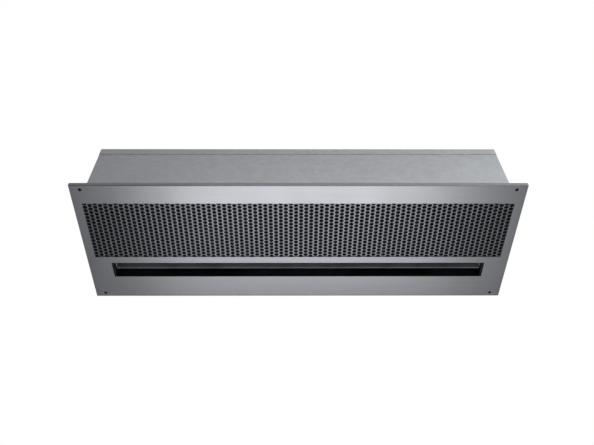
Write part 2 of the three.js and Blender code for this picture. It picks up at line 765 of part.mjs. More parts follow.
/** Three folded arms from a clamp hub to the scroll side, over the inlet ring. */
function motorBracket(middleX, side) {
  const faceX = scrollHalfX + fitGap + bracketSheet / 2;
  const armX = bracketUnder + bracketSheet / 2;
  const footStart = inletRadius + inletFlare + 2 * scrollSheet + bracketSheet;
  const hubRadius = sleeveRadius + fitGap + bracketHubWall;
  const section = foldedSheet([
    [hubRadius - bracketWeld, armX], [footStart, armX], [footStart, faceX], [footStart + bracketFoot, faceX],
  ], bracketSheet);
  const arm = new THREE.ExtrudeGeometry(section, { depth: bracketArmWidth, bevelEnabled: false });
  arm.translate(0, 0, -bracketArmWidth / 2);
  const outward = new THREE.Matrix4().makeBasis(
    new THREE.Vector3(0, 1, 0), new THREE.Vector3(1, 0, 0), new THREE.Vector3(0, 0, -1));
  arm.applyMatrix4(outward);
  const arms = Array.from({ length: bracketArms }, (_, i) =>
    solid(arm.clone().rotateX(Math.PI / 2 + (2 * Math.PI * i) / bracketArms)));
  const hub = turnedAlongX([
    [sleeveRadius + fitGap, armX - bracketSheet / 2], [hubRadius, armX - bracketSheet / 2],
    [hubRadius, armX + bracketHubLength - bracketSheet],
    [sleeveRadius + fitGap, armX + bracketHubLength - bracketSheet],
  ], wheelFacets, 0, 0);
  const bracket = geometryOf(join(hub, ...arms));
  if (side < 0) bracket.rotateZ(Math.PI);
  bracket.translate(middleX, axisY, axisZ);
  return solid(bracket);
}

// ---------------------------------------------------------------- control box

function controlBox() {
  const halfX = boxLength / 2;
  const outer = block([-halfX, boxFront, boxBottom], [halfX, boxRear, boxTop]);
  const inside = block([boxSheet - halfX, boxFront + boxSheet, boxBottom - overshoot],
    [halfX - boxSheet, boxRear - boxSheet, boxTop - boxSheet]);
  const holeEnd = halfX + overshoot;
  const leadHoles = turnedAlongX([
    [0, -holeEnd], [leadHoleRadius, -holeEnd], [leadHoleRadius, holeEnd], [0, holeEnd],
  ], boltFacets, boxRear - leadHoleRadius * 2, boxBottom + lidLip + leadHoleRadius * 2);
  const glandHole = bar(glandRadius + fitGap, boxTop - boxSheet - overshoot, boxTop + overshoot,
    boltFacets, glandX, glandY);
  return cut(outer, inside, leadHoles, glandHole);
}

function controlBoxLid() {
  const reach = fitGap + boxSheet;
  const halfX = boxLength / 2;
  const bottom = boxBottom - reach;
  const outer = block([-halfX - reach, boxFront - reach, bottom],
    [halfX + reach, boxRear + reach, bottom + lidLip]);
  const inside = block([-halfX - fitGap, boxFront - fitGap, boxBottom - fitGap],
    [halfX + fitGap, boxRear + fitGap, bottom + lidLip + overshoot]);
  return cut(outer, inside);
}

/** The board with its standoffs, relays, transformer and receiver. */
function controlBoard() {
  const ceiling = boxTop - boxSheet - fitGap;
  const top = ceiling - standoffHeight;
  const bottom = top - boardThickness;
  const x0 = boardFromEnd - boxLength / 2;
  const y0 = boxMiddleY - boardWidth / 2;
  const board = block([x0, y0, bottom], [x0 + boardLength, y0 + boardWidth, top]);
  const inset = standoffRadius * 2;
  const standoff = (alongX, alongY) =>
    bar(standoffRadius, bottom + boardThickness / 2, ceiling, boltFacets, x0 + alongX, y0 + alongY);
  const standoffs = [inset, boardLength - inset].flatMap((alongX) =>
    [inset, boardWidth - inset].map((alongY) => standoff(alongX, alongY)));
  const component = ([x, y], [length, width, height]) => block(
    [x0 + x, y0 + y, bottom - height], [x0 + x + length, y0 + y + width, bottom + boardThickness / 2]);
  const relays = [0, 1, 2].map((i) => component([relayInset[0] + i * relayPitch, relayInset[1]], relaySize));
  const transformer = component(transformerInset, transformerSize);
  return join(board, ...standoffs, ...relays, transformer, component(receiverInset, receiverSize));
}

function terminalBlock() {
  const ceiling = boxTop - boxSheet - fitGap;
  const x1 = boxLength / 2 - boxSheet - terminalInset;
  const x0 = x1 - terminalWidth;
  const y0 = boxFront + boxSheet + terminalInset;
  const base = block([x0, y0, ceiling - terminalHeight / 2], [x1, y0 + terminalLength, ceiling]);
  const step = (terminalLength - terminalRib) / terminalPoles;
  const walls = Array.from({ length: terminalPoles + 1 }, (_, i) => block(
    [x0, y0 + i * step, ceiling - terminalHeight], [x1, y0 + i * step + terminalRib, ceiling - overshoot]));
  return join(base, ...walls);
}

/** A motor capacitor hung from the box's roof by its stud. */
function motorCapacitor(index) {
  const ceiling = boxTop - boxSheet - fitGap;
  const canTop = ceiling - standoffHeight;
  const bottom = canTop - capacitorHeight;
  const x = boardFromEnd - boxLength / 2 + boardLength + capacitorFromBoard + capacitorRadius;
  const y = boxMiddleY + (index - 0.5) * (2 * capacitorRadius + capacitorGap);
  const profile = [
    [0, bottom], [capacitorRadius, bottom], [capacitorRadius, canTop],
    [capacitorStud, canTop], [capacitorStud, ceiling], [0, ceiling],
  ];
  return turned(profile, boltFacets, x, y);
}

function cableGland() {
  const bottom = boxTop - boxSheet - glandThread;
  const seat = casingHeight + fitGap;
  const middle = seat + glandHeight / 2;
  const top = seat + glandHeight;
  const capRadius = glandNutRadius - glandShoulder;
  const profile = [
    [glandBoreRadius, bottom], [glandRadius, bottom], [glandRadius, seat],
    [glandNutRadius, seat], [glandNutRadius, middle], [capRadius, middle],
    [capRadius - glandCapTaper, top], [glandBoreRadius, top],
  ];
  return turned(profile, boltFacets, glandX, glandY);
}

function glandLocknut() {
  const top = boxTop - boxSheet - fitGap;
  const nut = outline(polygon(6, glandNutRadius, glandX, glandY));
  nut.holes.push(new THREE.Path(
    polygon(boltFacets, glandRadius + fitGap, glandX, glandY).map(([a, b]) => new THREE.Vector2(a, b))));
  return plate(nut, top - locknutHeight, locknutHeight);
}

// ---------------------------------------------------------------- assembly

place('front_panel', frontPanel(), 'stainless');
place('intake_grille', intakeGrille(), 'grilleStainless');
place('air_filter', airFilter(), 'filterBlack');
place('grille_retainer_front', grilleRetainer(windowFront - grilleLap, -1), 'zincSteel');
place('grille_retainer_rear', grilleRetainer(windowRear + grilleLap, 1), 'zincSteel');
for (const [corner, sideX, sideY] of corners) {
  place(`panel_screw_${corner}`, panelScrew(sideX, sideY), 'blackenedSteel');
  place(`weld_nut_${corner}`, weldNut(sideX, sideY), 'zincSteel');
  place(`hanging_nut_${corner}`, hangingNut(sideX, sideY), 'zincSteel');
}

place('casing_front', longWall(-1), 'galvanised');
place('casing_rear', longWall(1), 'galvanised');
place('top_cover', topCover(), 'galvanised');
place('plenum_deck', plenumDeck(), 'galvanised');
place('nozzle_rear_plate', nozzleRearPlate(), 'blackPaint');
place('discharge_vane', dischargeVane(), 'greyAluminium');

for (const [end, side] of ends) {
  place(`end_plate_${end}`, endPlate(side), 'galvanised');
  place(`hanging_rail_${end}`, hangingRail(side), 'zincSteel');
  place(`plenum_end_${end}`, plenumEnd(side), 'blackPaint');
  place(`vane_bush_${end}`, vaneBush(side), 'nylon');
  place(`vane_pin_${end}`, vanePin(side), 'zincSteel');

  const middleX = side * fanX;
  place(`scroll_wrap_${end}`, scrollWrap(middleX), 'galvanised');
  place(`scroll_side_${end}_outer`, scrollSide(middleX, side), 'galvanised');
  place(`scroll_side_${end}_inner`, scrollSide(middleX, -side), 'galvanised');
  place(`fan_wheel_${end}`, fanWheel(middleX), 'galvanised');
  place(`motor_rotor_${end}`, motorRotor(middleX, side), 'motorBlack');
  place(`motor_stator_${end}`, motorStator(middleX, side), 'statorSteel');
  place(`motor_bracket_${end}`, motorBracket(middleX, side), 'zincSteel');
}

place('control_box', controlBox(), 'galvanised');
place('control_box_lid', controlBoxLid(), 'galvanised');
place('control_board', controlBoard(), 'circuitGreen');
place('terminal_block', terminalBlock(), 'nylon');
ends.forEach(([end], index) => place(`motor_capacitor_${end}`, motorCapacitor(index), 'capacitorWhite'));
place('cable_gland', cableGland(), 'glandGrey');
place('gland_locknut', glandLocknut(), 'glandGrey');

export default airCurtain;
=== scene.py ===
"""Looks of a recessed ceiling air curtain, built round its solid model.

Metres. X runs along the length, Y from the intake side to the discharge slot side and Z up into the ceiling.
"""
import json
import math

import bmesh
import bpy
from bpy.props import FloatProperty, FloatVectorProperty, IntProperty, PointerProperty
from mathutils import Matrix, Vector
from mathutils.geometry import delaunay_2d_cdt


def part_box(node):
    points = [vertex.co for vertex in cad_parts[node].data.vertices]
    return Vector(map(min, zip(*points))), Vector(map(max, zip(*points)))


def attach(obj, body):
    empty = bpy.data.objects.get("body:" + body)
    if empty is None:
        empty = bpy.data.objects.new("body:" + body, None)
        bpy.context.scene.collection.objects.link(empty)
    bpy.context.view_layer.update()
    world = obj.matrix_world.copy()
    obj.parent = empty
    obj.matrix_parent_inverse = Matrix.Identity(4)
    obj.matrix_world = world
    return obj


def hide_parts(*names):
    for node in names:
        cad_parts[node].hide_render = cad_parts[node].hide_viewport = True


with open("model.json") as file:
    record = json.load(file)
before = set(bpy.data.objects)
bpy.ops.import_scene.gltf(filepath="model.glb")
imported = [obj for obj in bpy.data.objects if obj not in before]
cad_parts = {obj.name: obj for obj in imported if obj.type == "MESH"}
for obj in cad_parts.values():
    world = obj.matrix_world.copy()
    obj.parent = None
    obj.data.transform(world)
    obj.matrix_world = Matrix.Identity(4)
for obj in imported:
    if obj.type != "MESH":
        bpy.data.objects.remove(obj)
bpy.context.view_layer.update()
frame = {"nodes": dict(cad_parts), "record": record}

bl_info = {
    "name": "Recessed Air Curtain",
    "version": (1, 0, 0),
    "blender": (4, 5, 0),
    "location": "View3D > Sidebar > Air Curtain",
    "description": "Builds the finished pieces of a recessed ceiling air curtain and its studio",
    "category": "Object",
}

MM = 0.001
ENDS = (("left", -1), ("right", 1))
CORNERS = ("front_left", "front_right", "rear_left", "rear_right")

# ---------------------------------------------------------------- sizes, and places from the frame

FIT_GAP = 0.3 * MM
GRILLE_LAP = 8 * MM
PLENUM_SETBACK = 2.3 * MM
NOZZLE_SETBACK = 2 * MM
PLENUM_END_INSET = 3.5 * MM
SHEET = 1.2 * MM
COVER_SHEET = 1 * MM
SCROLL_SHEET = 1 * MM
LIP_RISE = 4 * MM  # of the panel's folded edge over the solid's
FOOT_SETBACK = 0.5 * MM  # of the casing's foot inside that edge
CORNER_FLANGE = 15 * MM  # of an end plate, behind the long walls
SCREW_HEAD_DEPTH = 1.4 * MM
BLADE_DEPTH = 12 * MM
ROTOR_WALL = 3 * MM
SHAFT_RADIUS = 4 * MM
INLET_RADIUS = 48 * MM
INLET_FLARE = 8 * MM
INLET_LIP = 3 * MM  # of the inlet ring into the scroll
CUTOFF_ANGLE = math.radians(38)  # of the scroll's tongue, below the axis
CUTOFF_GAP = 6 * MM  # wheel to tongue
TONGUE_RADIUS = 5 * MM
OUTLET_WIDTH = 42 * MM

PANEL_LOW, PANEL_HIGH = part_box("front_panel")
GRILLE_LOW, GRILLE_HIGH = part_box("intake_grille")
COVER_LOW, COVER_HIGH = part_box("top_cover")
WALL_LOW, WALL_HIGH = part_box("casing_rear")
END_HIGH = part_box("end_plate_right")[1]
DECK_LOW, DECK_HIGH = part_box("plenum_deck")
NOZZLE_LOW, NOZZLE_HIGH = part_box("nozzle_rear_plate")
VANE_LOW, VANE_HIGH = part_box("discharge_vane")
WHEEL_LOW, WHEEL_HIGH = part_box("fan_wheel_right")
WRAP_LOW, WRAP_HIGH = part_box("scroll_wrap_right")
ROTOR_LOW, ROTOR_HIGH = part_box("motor_rotor_right")
GLAND_LOW, GLAND_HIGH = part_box("cable_gland")

WINDOW_X = GRILLE_HIGH[0] - GRILLE_LAP
WINDOW_FRONT = GRILLE_LOW[1] + GRILLE_LAP
WINDOW_REAR = GRILLE_HIGH[1] - GRILLE_LAP
SLOT_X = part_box("plenum_end_right")[0][0] + PLENUM_END_INSET
SLOT_FRONT = DECK_LOW[1] + SHEET + PLENUM_SETBACK
SLOT_REAR = NOZZLE_LOW[1] - NOZZLE_SETBACK
WALL_X = COVER_HIGH[0] - COVER_SHEET - FIT_GAP
AXIS_Y = (ROTOR_LOW[1] + ROTOR_HIGH[1]) / 2
AXIS_Z = (ROTOR_LOW[2] + ROTOR_HIGH[2]) / 2
FAN_X = (WHEEL_LOW[0] + WHEEL_HIGH[0]) / 2
WHEEL_RADIUS = (WHEEL_HIGH[1] - WHEEL_LOW[1]) / 2
WHEEL_HALF = (WHEEL_HIGH[0] - WHEEL_LOW[0]) / 2
ROTOR_RADIUS = ROTOR_HIGH[1] - AXIS_Y
TONGUE_DISTANCE = WHEEL_RADIUS + CUTOFF_GAP + TONGUE_RADIUS
TONGUE_Y = TONGUE_DISTANCE * math.cos(CUTOFF_ANGLE)
TONGUE_DROP = TONGUE_DISTANCE * math.sin(CUTOFF_ANGLE)
OUTLET_INNER = TONGUE_Y + TONGUE_RADIUS
OUTLET_OUTER = OUTLET_INNER + OUTLET_WIDTH
SCROLL_SWEEP = 2 * math.pi - CUTOFF_ANGLE
SCROLL_GROWTH = math.log(OUTLET_OUTER / (WHEEL_RADIUS + CUTOFF_GAP)) / SCROLL_SWEEP


def middle(node):
    """The middle of a node's box, seen from above."""
    low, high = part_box(node)
    return (low[0] + high[0]) / 2, (low[1] + high[1]) / 2


# ---------------------------------------------------------------- outlines


def spread(start, end, steps):
    """Evenly spaced values with both ends."""
    return [start + (end - start) * i / steps for i in range(steps + 1)]


def circle(radius, points, x=0.0, y=0.0, turn=0.0):
    """A closed loop of points on a circle."""
    angles = [turn + 2 * math.pi * i / points for i in range(points)]
    return [(x + radius * math.cos(angle), y + radius * math.sin(angle)) for angle in angles]


def rounded_rectangle(half_x, low_y, high_y, radius, steps=4):
    """A closed rectangle about X zero, with round corners."""
    centres = (
        (half_x - radius, high_y - radius), (radius - half_x, high_y - radius),
        (radius - half_x, low_y + radius), (half_x - radius, low_y + radius),
    )
    loop = []
    for quarter, (x, y) in enumerate(centres):
        for angle in spread(quarter * math.pi / 2, (quarter + 1) * math.pi / 2, steps):
            loop.append((x + radius * math.cos(angle), y + radius * math.sin(angle)))
    return loop


def with_sides(points):
    """Each point of an open line with the direction to its left."""
    pairs = []
    for i, point in enumerate(points):
        before = Vector(points[max(i - 1, 0)])
        after = Vector(points[min(i + 1, len(points) - 1)])
        along = (after - before).normalized()
        pairs.append((Vector(point), Vector((-along.y, along.x))))
    return pairs


def bent_line(corners, radius, steps=5):
    """The middle line of a folded sheet with an arc at each bend, as points with their left side."""
    corners = [Vector(corner) for corner in corners]
    pairs = []
    for i, corner in enumerate(corners):
        before = (corner - corners[i - 1]).normalized() if i else None
        after = (corners[i + 1] - corner).normalized() if i + 1 < len(corners) else None
        along = before or after
        side = Vector((-along.y, along.x))
        if before is None or after is None:
            pairs.append((corner, side))
            continue
        turn = math.atan2(before.x * after.y - before.y * after.x, before.dot(after))
        hand = math.copysign(1.0, turn)
        centre = corner - before * radius * math.tan(abs(turn) / 2) + side * radius * hand
        for angle in spread(0.0, turn, steps):
            now = Matrix.Rotation(angle, 2) @ side
            pairs.append((centre - now * radius * hand, now))
    return pairs


# ---------------------------------------------------------------- mesh parts, each (points, faces)


def merged(*parts):
    """Several parts as one."""
    points, faces = [], []
    for part_points, part_faces in parts:
        first = len(points)
        points += part_points
        faces += [[first + i for i in face] for face in part_faces]
    return points, faces


def moved(part, along="Z", at=(0.0, 0.0, 0.0), turn=0.0):
    """A part drawn along Z, turned about its own axis, laid along X, Y or Z and moved."""
    spin = Matrix.Rotation(turn, 3, "Z")
    order = {"Z": (0, 1, 2), "X": (2, 0, 1), "Y": (1, 2, 0)}[along]
    points = []
    for point in part[0]:
        spun = spin @ Vector(point)
        points.append(tuple(spun[order[k]] + at[k] for k in range(3)))
    return points, part[1]


def ribbon(levels, closed=True):
    """Quads between loops that have equally many points."""
    count = len(levels[0])
    points = [point for level in levels for point in level]
    faces = []
    for row in range(len(levels) - 1):
        for i in range(count if closed else count - 1):
            j = (i + 1) % count
            faces.append([row * count + i, row * count + j, (row + 1) * count + j, (row + 1) * count + i])
    return points, faces


def lifted(outline, height):
    """A flat outline at a height."""
    return [(x, y, height) for x, y in outline]


def holds(loop, x, y):
    """Whether a closed loop goes round a point."""
    inside = False
    for (x0, y0), (x1, y1) in zip(loop, loop[1:] + loop[:1]):
        if (y0 > y) != (y1 > y) and x < x0 + (x1 - x0) * (y - y0) / (y1 - y0):
            inside = not inside
    return inside


def filled(loops, height):
    """The flat face inside the first loop and outside the others."""
    flat = [Vector(point) for loop in loops for point in loop]
    edges, first = [], 0
    for loop in loops:
        edges += [(first + i, first + (i + 1) % len(loop)) for i in range(len(loop))]
        first += len(loop)
    points, _, faces = delaunay_2d_cdt(flat, edges, [], 1, 1e-7)[:3]
    kept = []
    for face in faces:
        x = sum(points[i].x for i in face) / len(face)
        y = sum(points[i].y for i in face) / len(face)
        if not any(holds(hole, x, y) for hole in loops[1:]):
            kept.append(list(face))
    return [(point.x, point.y, height) for point in points], kept


def sheet(rim, holes=()):
    """A plate from the (outline, height) levels of its rim and holes, each from one face to the other."""
    walls = [ribbon([lifted(outline, height) for outline, height in levels]) for levels in (rim, *holes)]
    faces = [filled([levels[end][0] for levels in (rim, *holes)], rim[end][1]) for end in (0, -1)]
    return merged(*walls, *faces)


def hole_levels(outline, base, way, thickness, round_edge=0.2 * MM):
    """Levels of a hole whose edges are broken; outline gives the loop for a growth."""
    steps = ((round_edge, 0.0), (0.0, round_edge), (0.0, thickness - round_edge), (round_edge, thickness))
    return [(outline(growth), base + way * height) for growth, height in steps]


def tray_rim(half_x, low_y, high_y, base, lip, thickness, bend, corner, round_edge=0.2 * MM):
    """Levels of a tray's folded rim. Its outer face lies at base and its lip reaches to lip."""
    way = math.copysign(1.0, lip - base)
    height = abs(lip - base)

    def fold(radius, angles):
        return [(bend - radius * math.cos(angle), bend - radius * math.sin(angle)) for angle in angles]

    outer = fold(bend, spread(math.pi / 2, 0.0, 5))
    inner = fold(bend - thickness, spread(0.0, math.pi / 2, 5))
    edge = [
        (0.0, height - round_edge), (round_edge, height),
        (thickness - round_edge, height), (thickness, height - round_edge),
    ]
    levels = []
    for inset, rise in outer + edge + inner:
        radius = max(corner - inset, 0.1 * MM)
        loop = rounded_rectangle(half_x - inset, low_y + inset, high_y - inset, radius)
        levels.append((loop, base + way * rise))
    return levels


def strip(pairs, thickness, start, end, along="X"):
    """Sheet metal that follows a section line. Its start and end are numbers or functions of the point."""
    def place(limit, point):
        return limit(point) if callable(limit) else limit

    rows = []
    for limit in (start, end):
        for half in (thickness / 2, -thickness / 2):
            rows.append([(*(point + side * half), place(limit, point)) for point, side in pairs])
    first_left, first_right, last_left, last_right = rows
    loop = [first_left + first_right[::-1], last_left + last_right[::-1]]
    points, faces = ribbon(loop)
    count = len(pairs)
    ring = 2 * count
    for i in range(count - 1):
        faces.append([i + 1, i, ring - 1 - i, ring - 2 - i])
        faces.append([ring + i, ring + i + 1, 2 * ring - 2 - i, 2 * ring - 1 - i])
    return moved((points, faces), along)


def turned(profile, segments=48, along="Z", at=(0.0, 0.0, 0.0), turn=0.0):
    """A profile of (radius, height) turned round an axis."""
    levels = [lifted(circle(radius, segments), height) for radius, height in profile]
    return moved(ribbon(levels), along, at, turn)


def thread(radius, depth, start, end, pitch):
    """Profile points of a thread's grooves between two heights."""
    turns = max(1, round(abs(end - start) / pitch))
    points = []
    for i in range(turns):
        points.append((radius, start + (end - start) * i / turns))
        points.append((radius + depth, start + (end - start) * (i + 0.5) / turns))
    return points + [(radius, end)]


def slab(low, high):
    """A box between two corners."""
    (x0, y0, z0), (x1, y1, z1) = low, high
    base = [(x0, y0), (x1, y0), (x1, y1), (x0, y1)]
    points, faces = ribbon([lifted(base, z0), lifted(base, z1)])
    return points, faces + [[3, 2, 1, 0], [4, 5, 6, 7]]


# ---------------------------------------------------------------- node trees


def add(tree, kind, settings=None, **inputs):
    """A node with its settings, and inputs by name as values or links."""
    node = tree.nodes.new(kind)
    for name, value in (settings or {}).items():
        setattr(node, name, value)
    for label, value in inputs.items():
        plug(tree, node.inputs[label.replace("_", " ")], value)
    return node


def plug(tree, socket, value):
    """Sets a socket to a value, or links it."""
    if isinstance(value, bpy.types.NodeSocket):
        tree.links.new(value, socket)
    else:
        socket.default_value = value


def sums(tree, operation, first, second=0.0, clamp=False):
    """One arithmetic node's output."""
    node = tree.nodes.new("ShaderNodeMath")
    node.operation = operation
    node.use_clamp = clamp
    plug(tree, node.inputs[0], first)
    plug(tree, node.inputs[1], second)
    return node.outputs[0]


def ranged(tree, value, low, high, to_low=0.0, to_high=1.0):
    """A value carried from one range to another."""
    limits = {"From_Min": low, "From_Max": high, "To_Min": to_low, "To_Max": to_high}
    return add(tree, "ShaderNodeMapRange", Value=value, **limits).outputs["Result"]


def blended(tree, factor, first, second):
    """A colour between two colours."""
    node = tree.nodes.new("ShaderNodeMix")
    node.data_type = "RGBA"
    plug(tree, node.inputs[0], factor)
    plug(tree, node.inputs[6], first)
    plug(tree, node.inputs[7], second)
    return node.outputs[2]


def shade(colour, factor):
    """A colour made lighter or darker."""
    return tuple(min(part * factor, 1.0) for part in colour[:3]) + (1.0,)


def new_group(name, inputs, outputs):
    """An empty node group with its sockets, and its input and output nodes."""
    tree = bpy.data.node_groups.new(name, "ShaderNodeTree")
    for label, default in inputs:
        socket = tree.interface.new_socket(label, in_out="INPUT", socket_type="NodeSocketFloat")
        socket.default_value = default
    for label in outputs:
        tree.interface.new_socket(label, in_out="OUTPUT", socket_type="NodeSocketFloat")
    return tree, tree.nodes.new("NodeGroupInput"), tree.nodes.new("NodeGroupOutput")


def stretched(tree, along, across):
    """Object coordinates counted in grain lengths along X and grain widths across it."""
    place = tree.nodes.new("ShaderNodeTexCoord").outputs["Object"]
    size = add(tree, "ShaderNodeCombineXYZ", X=along, Y=across, Z=across).outputs[0]
    divide = add(tree, "ShaderNodeVectorMath", {"operation": "DIVIDE"})
    tree.links.new(place, divide.inputs[0])
    tree.links.new(size, divide.inputs[1])
    return divide.outputs[0]


def grain_group():
    """Fine streaks of a brushed or rolled sheet."""
    tree, given, out = new_group("Rolled Grain", (("Length", 0.05), ("Width", 0.0006)), ("Streak",))
    place = stretched(tree, given.outputs["Length"], given.outputs["Width"])
    noise = add(tree, "ShaderNodeTexNoise", Vector=place, Scale=1.0, Detail=3.0, Roughness=0.6)
    tree.links.new(ranged(tree, noise.outputs["Fac"], 0.3, 0.7), out.inputs["Streak"])
    return tree


def cloud_group():
    """Soft blotches from handling and uneven finish."""
    tree, given, out = new_group("Handling Clouds", (("Size", 0.12),), ("Cloud",))
    place = stretched(tree, given.outputs["Size"], given.outputs["Size"])
    noise = add(tree, "ShaderNodeTexNoise", Vector=place, Scale=1.0, Detail=4.0, Roughness=0.55,
                Distortion=0.4)
    tree.links.new(ranged(tree, noise.outputs["Fac"], 0.32, 0.68), out.inputs["Cloud"])
    return tree


def spangle_group():
    """Flat crystals of a zinc coat, each with its own shade."""
    tree, given, out = new_group("Zinc Spangle", (("Size", 0.012),), ("Crystal", "Frost"))
    place = stretched(tree, given.outputs["Size"], given.outputs["Size"])
    wobble = add(tree, "ShaderNodeTexNoise", Vector=place, Scale=2.2, Detail=2.0, Roughness=0.5)
    shift = add(tree, "ShaderNodeVectorMath", {"operation": "SCALE"}, Vector=wobble.outputs["Color"],
                Scale=0.55)
    bent = add(tree, "ShaderNodeVectorMath", {"operation": "ADD"})
    tree.links.new(place, bent.inputs[0])
    tree.links.new(shift.outputs[0], bent.inputs[1])
    cells = add(tree, "ShaderNodeTexVoronoi", Vector=bent.outputs[0], Scale=1.0)
    crystal = add(tree, "ShaderNodeSeparateColor", Color=cells.outputs["Color"]).outputs[0]
    frost = add(tree, "ShaderNodeTexNoise", Vector=place, Scale=9.0, Detail=5.0, Roughness=0.7)
    tree.links.new(crystal, out.inputs["Crystal"])
    tree.links.new(ranged(tree, frost.outputs["Fac"], 0.3, 0.7), out.inputs["Frost"])
    return tree


def dust_group():
    """Dust that settles on faces that look up."""
    tree, given, out = new_group("Settled Dust", (("Amount", 0.5),), ("Dust",))
    normal = tree.nodes.new("ShaderNodeNewGeometry").outputs["Normal"]
    upward = ranged(tree, add(tree, "ShaderNodeSeparateXYZ", Vector=normal).outputs["Z"], 0.6, 0.98)
    place = stretched(tree, 0.05, 0.05)
    noise = add(tree, "ShaderNodeTexNoise", Vector=place, Scale=1.0, Detail=6.0, Roughness=0.65)
    patchy = ranged(tree, noise.outputs["Fac"], 0.3, 0.75, 0.35, 1.0)
    amount = sums(tree, "MULTIPLY", sums(tree, "MULTIPLY", upward, patchy), given.outputs["Amount"])
    tree.links.new(amount, out.inputs["Dust"])
    return tree


def rub_group():
    """Bare metal where an edge has rubbed."""
    tree, given, out = new_group("Edge Rub", (("Reach", 0.56),), ("Rub",))
    pointy = tree.nodes.new("ShaderNodeNewGeometry").outputs["Pointiness"]
    place = stretched(tree, 0.006, 0.006)
    noise = add(tree, "ShaderNodeTexNoise", Vector=place, Scale=1.0, Detail=4.0, Roughness=0.7)
    edge = ranged(tree, pointy, given.outputs["Reach"], 0.66)
    rub = sums(tree, "MULTIPLY", edge, ranged(tree, noise.outputs["Fac"], 0.45, 0.6), clamp=True)
    tree.links.new(rub, out.inputs["Rub"])
    return tree


GROUPS = {
    "Rolled Grain": grain_group, "Handling Clouds": cloud_group, "Zinc Spangle": spangle_group,
    "Settled Dust": dust_group, "Edge Rub": rub_group,
}


def effect(tree, name, **values):
    """A shared effect placed in a material with its own values."""
    group = bpy.data.node_groups.get(name) or GROUPS[name]()
    node = tree.nodes.new("ShaderNodeGroup")
    node.node_tree = group
    for label, value in values.items():
        plug(tree, node.inputs[label], value)
    return node.outputs


def new_material(name):
    """An empty material: its tree and its main shader."""
    material = bpy.data.materials.new(name)
    material.use_nodes = True
    tree = material.node_tree
    tree.nodes.clear()
    shader = tree.nodes.new("ShaderNodeBsdfPrincipled")
    output = tree.nodes.new("ShaderNodeOutputMaterial")
    tree.links.new(shader.outputs[0], output.inputs["Surface"])
    return material, tree, shader


def bumped(tree, shader, height, distance, strength=1.0):
    """Joins a height to the shader's normal."""
    bump = add(tree, "ShaderNodeBump", Height=height, Distance=distance, Strength=strength)
    tree.links.new(bump.outputs["Normal"], shader.inputs["Normal"])


# ---------------------------------------------------------------- finishes, named as the record's slots


def satin_stainless(name, colour, roughness):
    """Satin ground stainless sheet with faint grain along the length, and painted shade on upright faces."""
    material, tree, shader = new_material(name)
    streak = effect(tree, "Rolled Grain", Length=0.06, Width=0.0005)["Streak"]
    broad = effect(tree, "Rolled Grain", Length=0.5, Width=0.012)["Streak"]
    cloud = effect(tree, "Handling Clouds", Size=0.15)["Cloud"]
    mixed = sums(tree, "ADD", sums(tree, "MULTIPLY", streak, 0.6), sums(tree, "MULTIPLY", broad, 0.4))
    ground = blended(tree, mixed, shade(colour, 0.94), shade(colour, 1.05))
    # Painted shade: faces that stand upright, such as the panel's folded lip, get a darker copy of the steel
    # colour.
    normal = tree.nodes.new("ShaderNodeTexCoord").outputs["Normal"]
    flat = sums(tree, "ABSOLUTE", add(tree, "ShaderNodeSeparateXYZ", Vector=normal).outputs["Z"])
    folded = ranged(tree, flat, 0.3, 0.8, 1.0, 0.0)
    plug(tree, shader.inputs["Base Color"], blended(tree, folded, ground, shade(colour, 0.68)))
    rough = sums(tree, "ADD", ranged(tree, streak, 0.0, 1.0, roughness - 0.03, roughness + 0.03),
                 ranged(tree, cloud, 0.0, 1.0, -0.015, 0.03))
    plug(tree, shader.inputs["Roughness"], rough)
    shader.inputs["Metallic"].default_value = 1.0
    bumped(tree, shader, streak, 0.00002, 0.35)
    return material


def galvanised(name, colour, roughness, size):
    """Dull zinc coat with spangle, blotches and a little dust on top."""
    material, tree, shader = new_material(name)
    spangle = effect(tree, "Zinc Spangle", Size=size)
    cloud = effect(tree, "Handling Clouds", Size=0.2)["Cloud"]
    dust = effect(tree, "Settled Dust", Amount=0.35)["Dust"]
    crystal = sums(tree, "ADD", sums(tree, "MULTIPLY", spangle["Crystal"], 0.7),
                   sums(tree, "MULTIPLY", spangle["Frost"], 0.3))
    zinc = blended(tree, crystal, shade(colour, 0.93), shade(colour, 1.07))
    zinc = blended(tree, ranged(tree, cloud, 0.0, 1.0, 0.0, 0.25), zinc, shade(colour, 0.88))
    plug(tree, shader.inputs["Base Color"], blended(tree, dust, zinc, (0.36, 0.35, 0.33, 1.0)))
    plug(tree, shader.inputs["Metallic"], ranged(tree, dust, 0.0, 1.0, 1.0, 0.3))
    rough = sums(tree, "ADD", ranged(tree, crystal, 0.0, 1.0, roughness - 0.05, roughness + 0.05),
                 ranged(tree, dust, 0.0, 1.0, 0.0, 0.4), clamp=True)
    plug(tree, shader.inputs["Roughness"], rough)
    bumped(tree, shader, spangle["Frost"], 0.00003, 0.3)
    return material


def plated(name, colour, roughness):
    """Zinc plate or blackening on small steel pieces, and the bare steel of motor cores."""
    material, tree, shader = new_material(name)
    cloud = effect(tree, "Handling Clouds", Size=0.012)["Cloud"]
    streak = effect(tree, "Rolled Grain", Length=0.01, Width=0.0004)["Streak"]
    plug(tree, shader.inputs["Base Color"], blended(tree, cloud, shade(colour, 0.85), shade(colour, 1.08)))
    plug(tree, shader.inputs["Roughness"], ranged(tree, streak, 0.0, 1.0, roughness - 0.06, roughness + 0.08))
    shader.inputs["Metallic"].default_value = 1.0
    bumped(tree, shader, streak, 0.00002, 0.25)
    return material


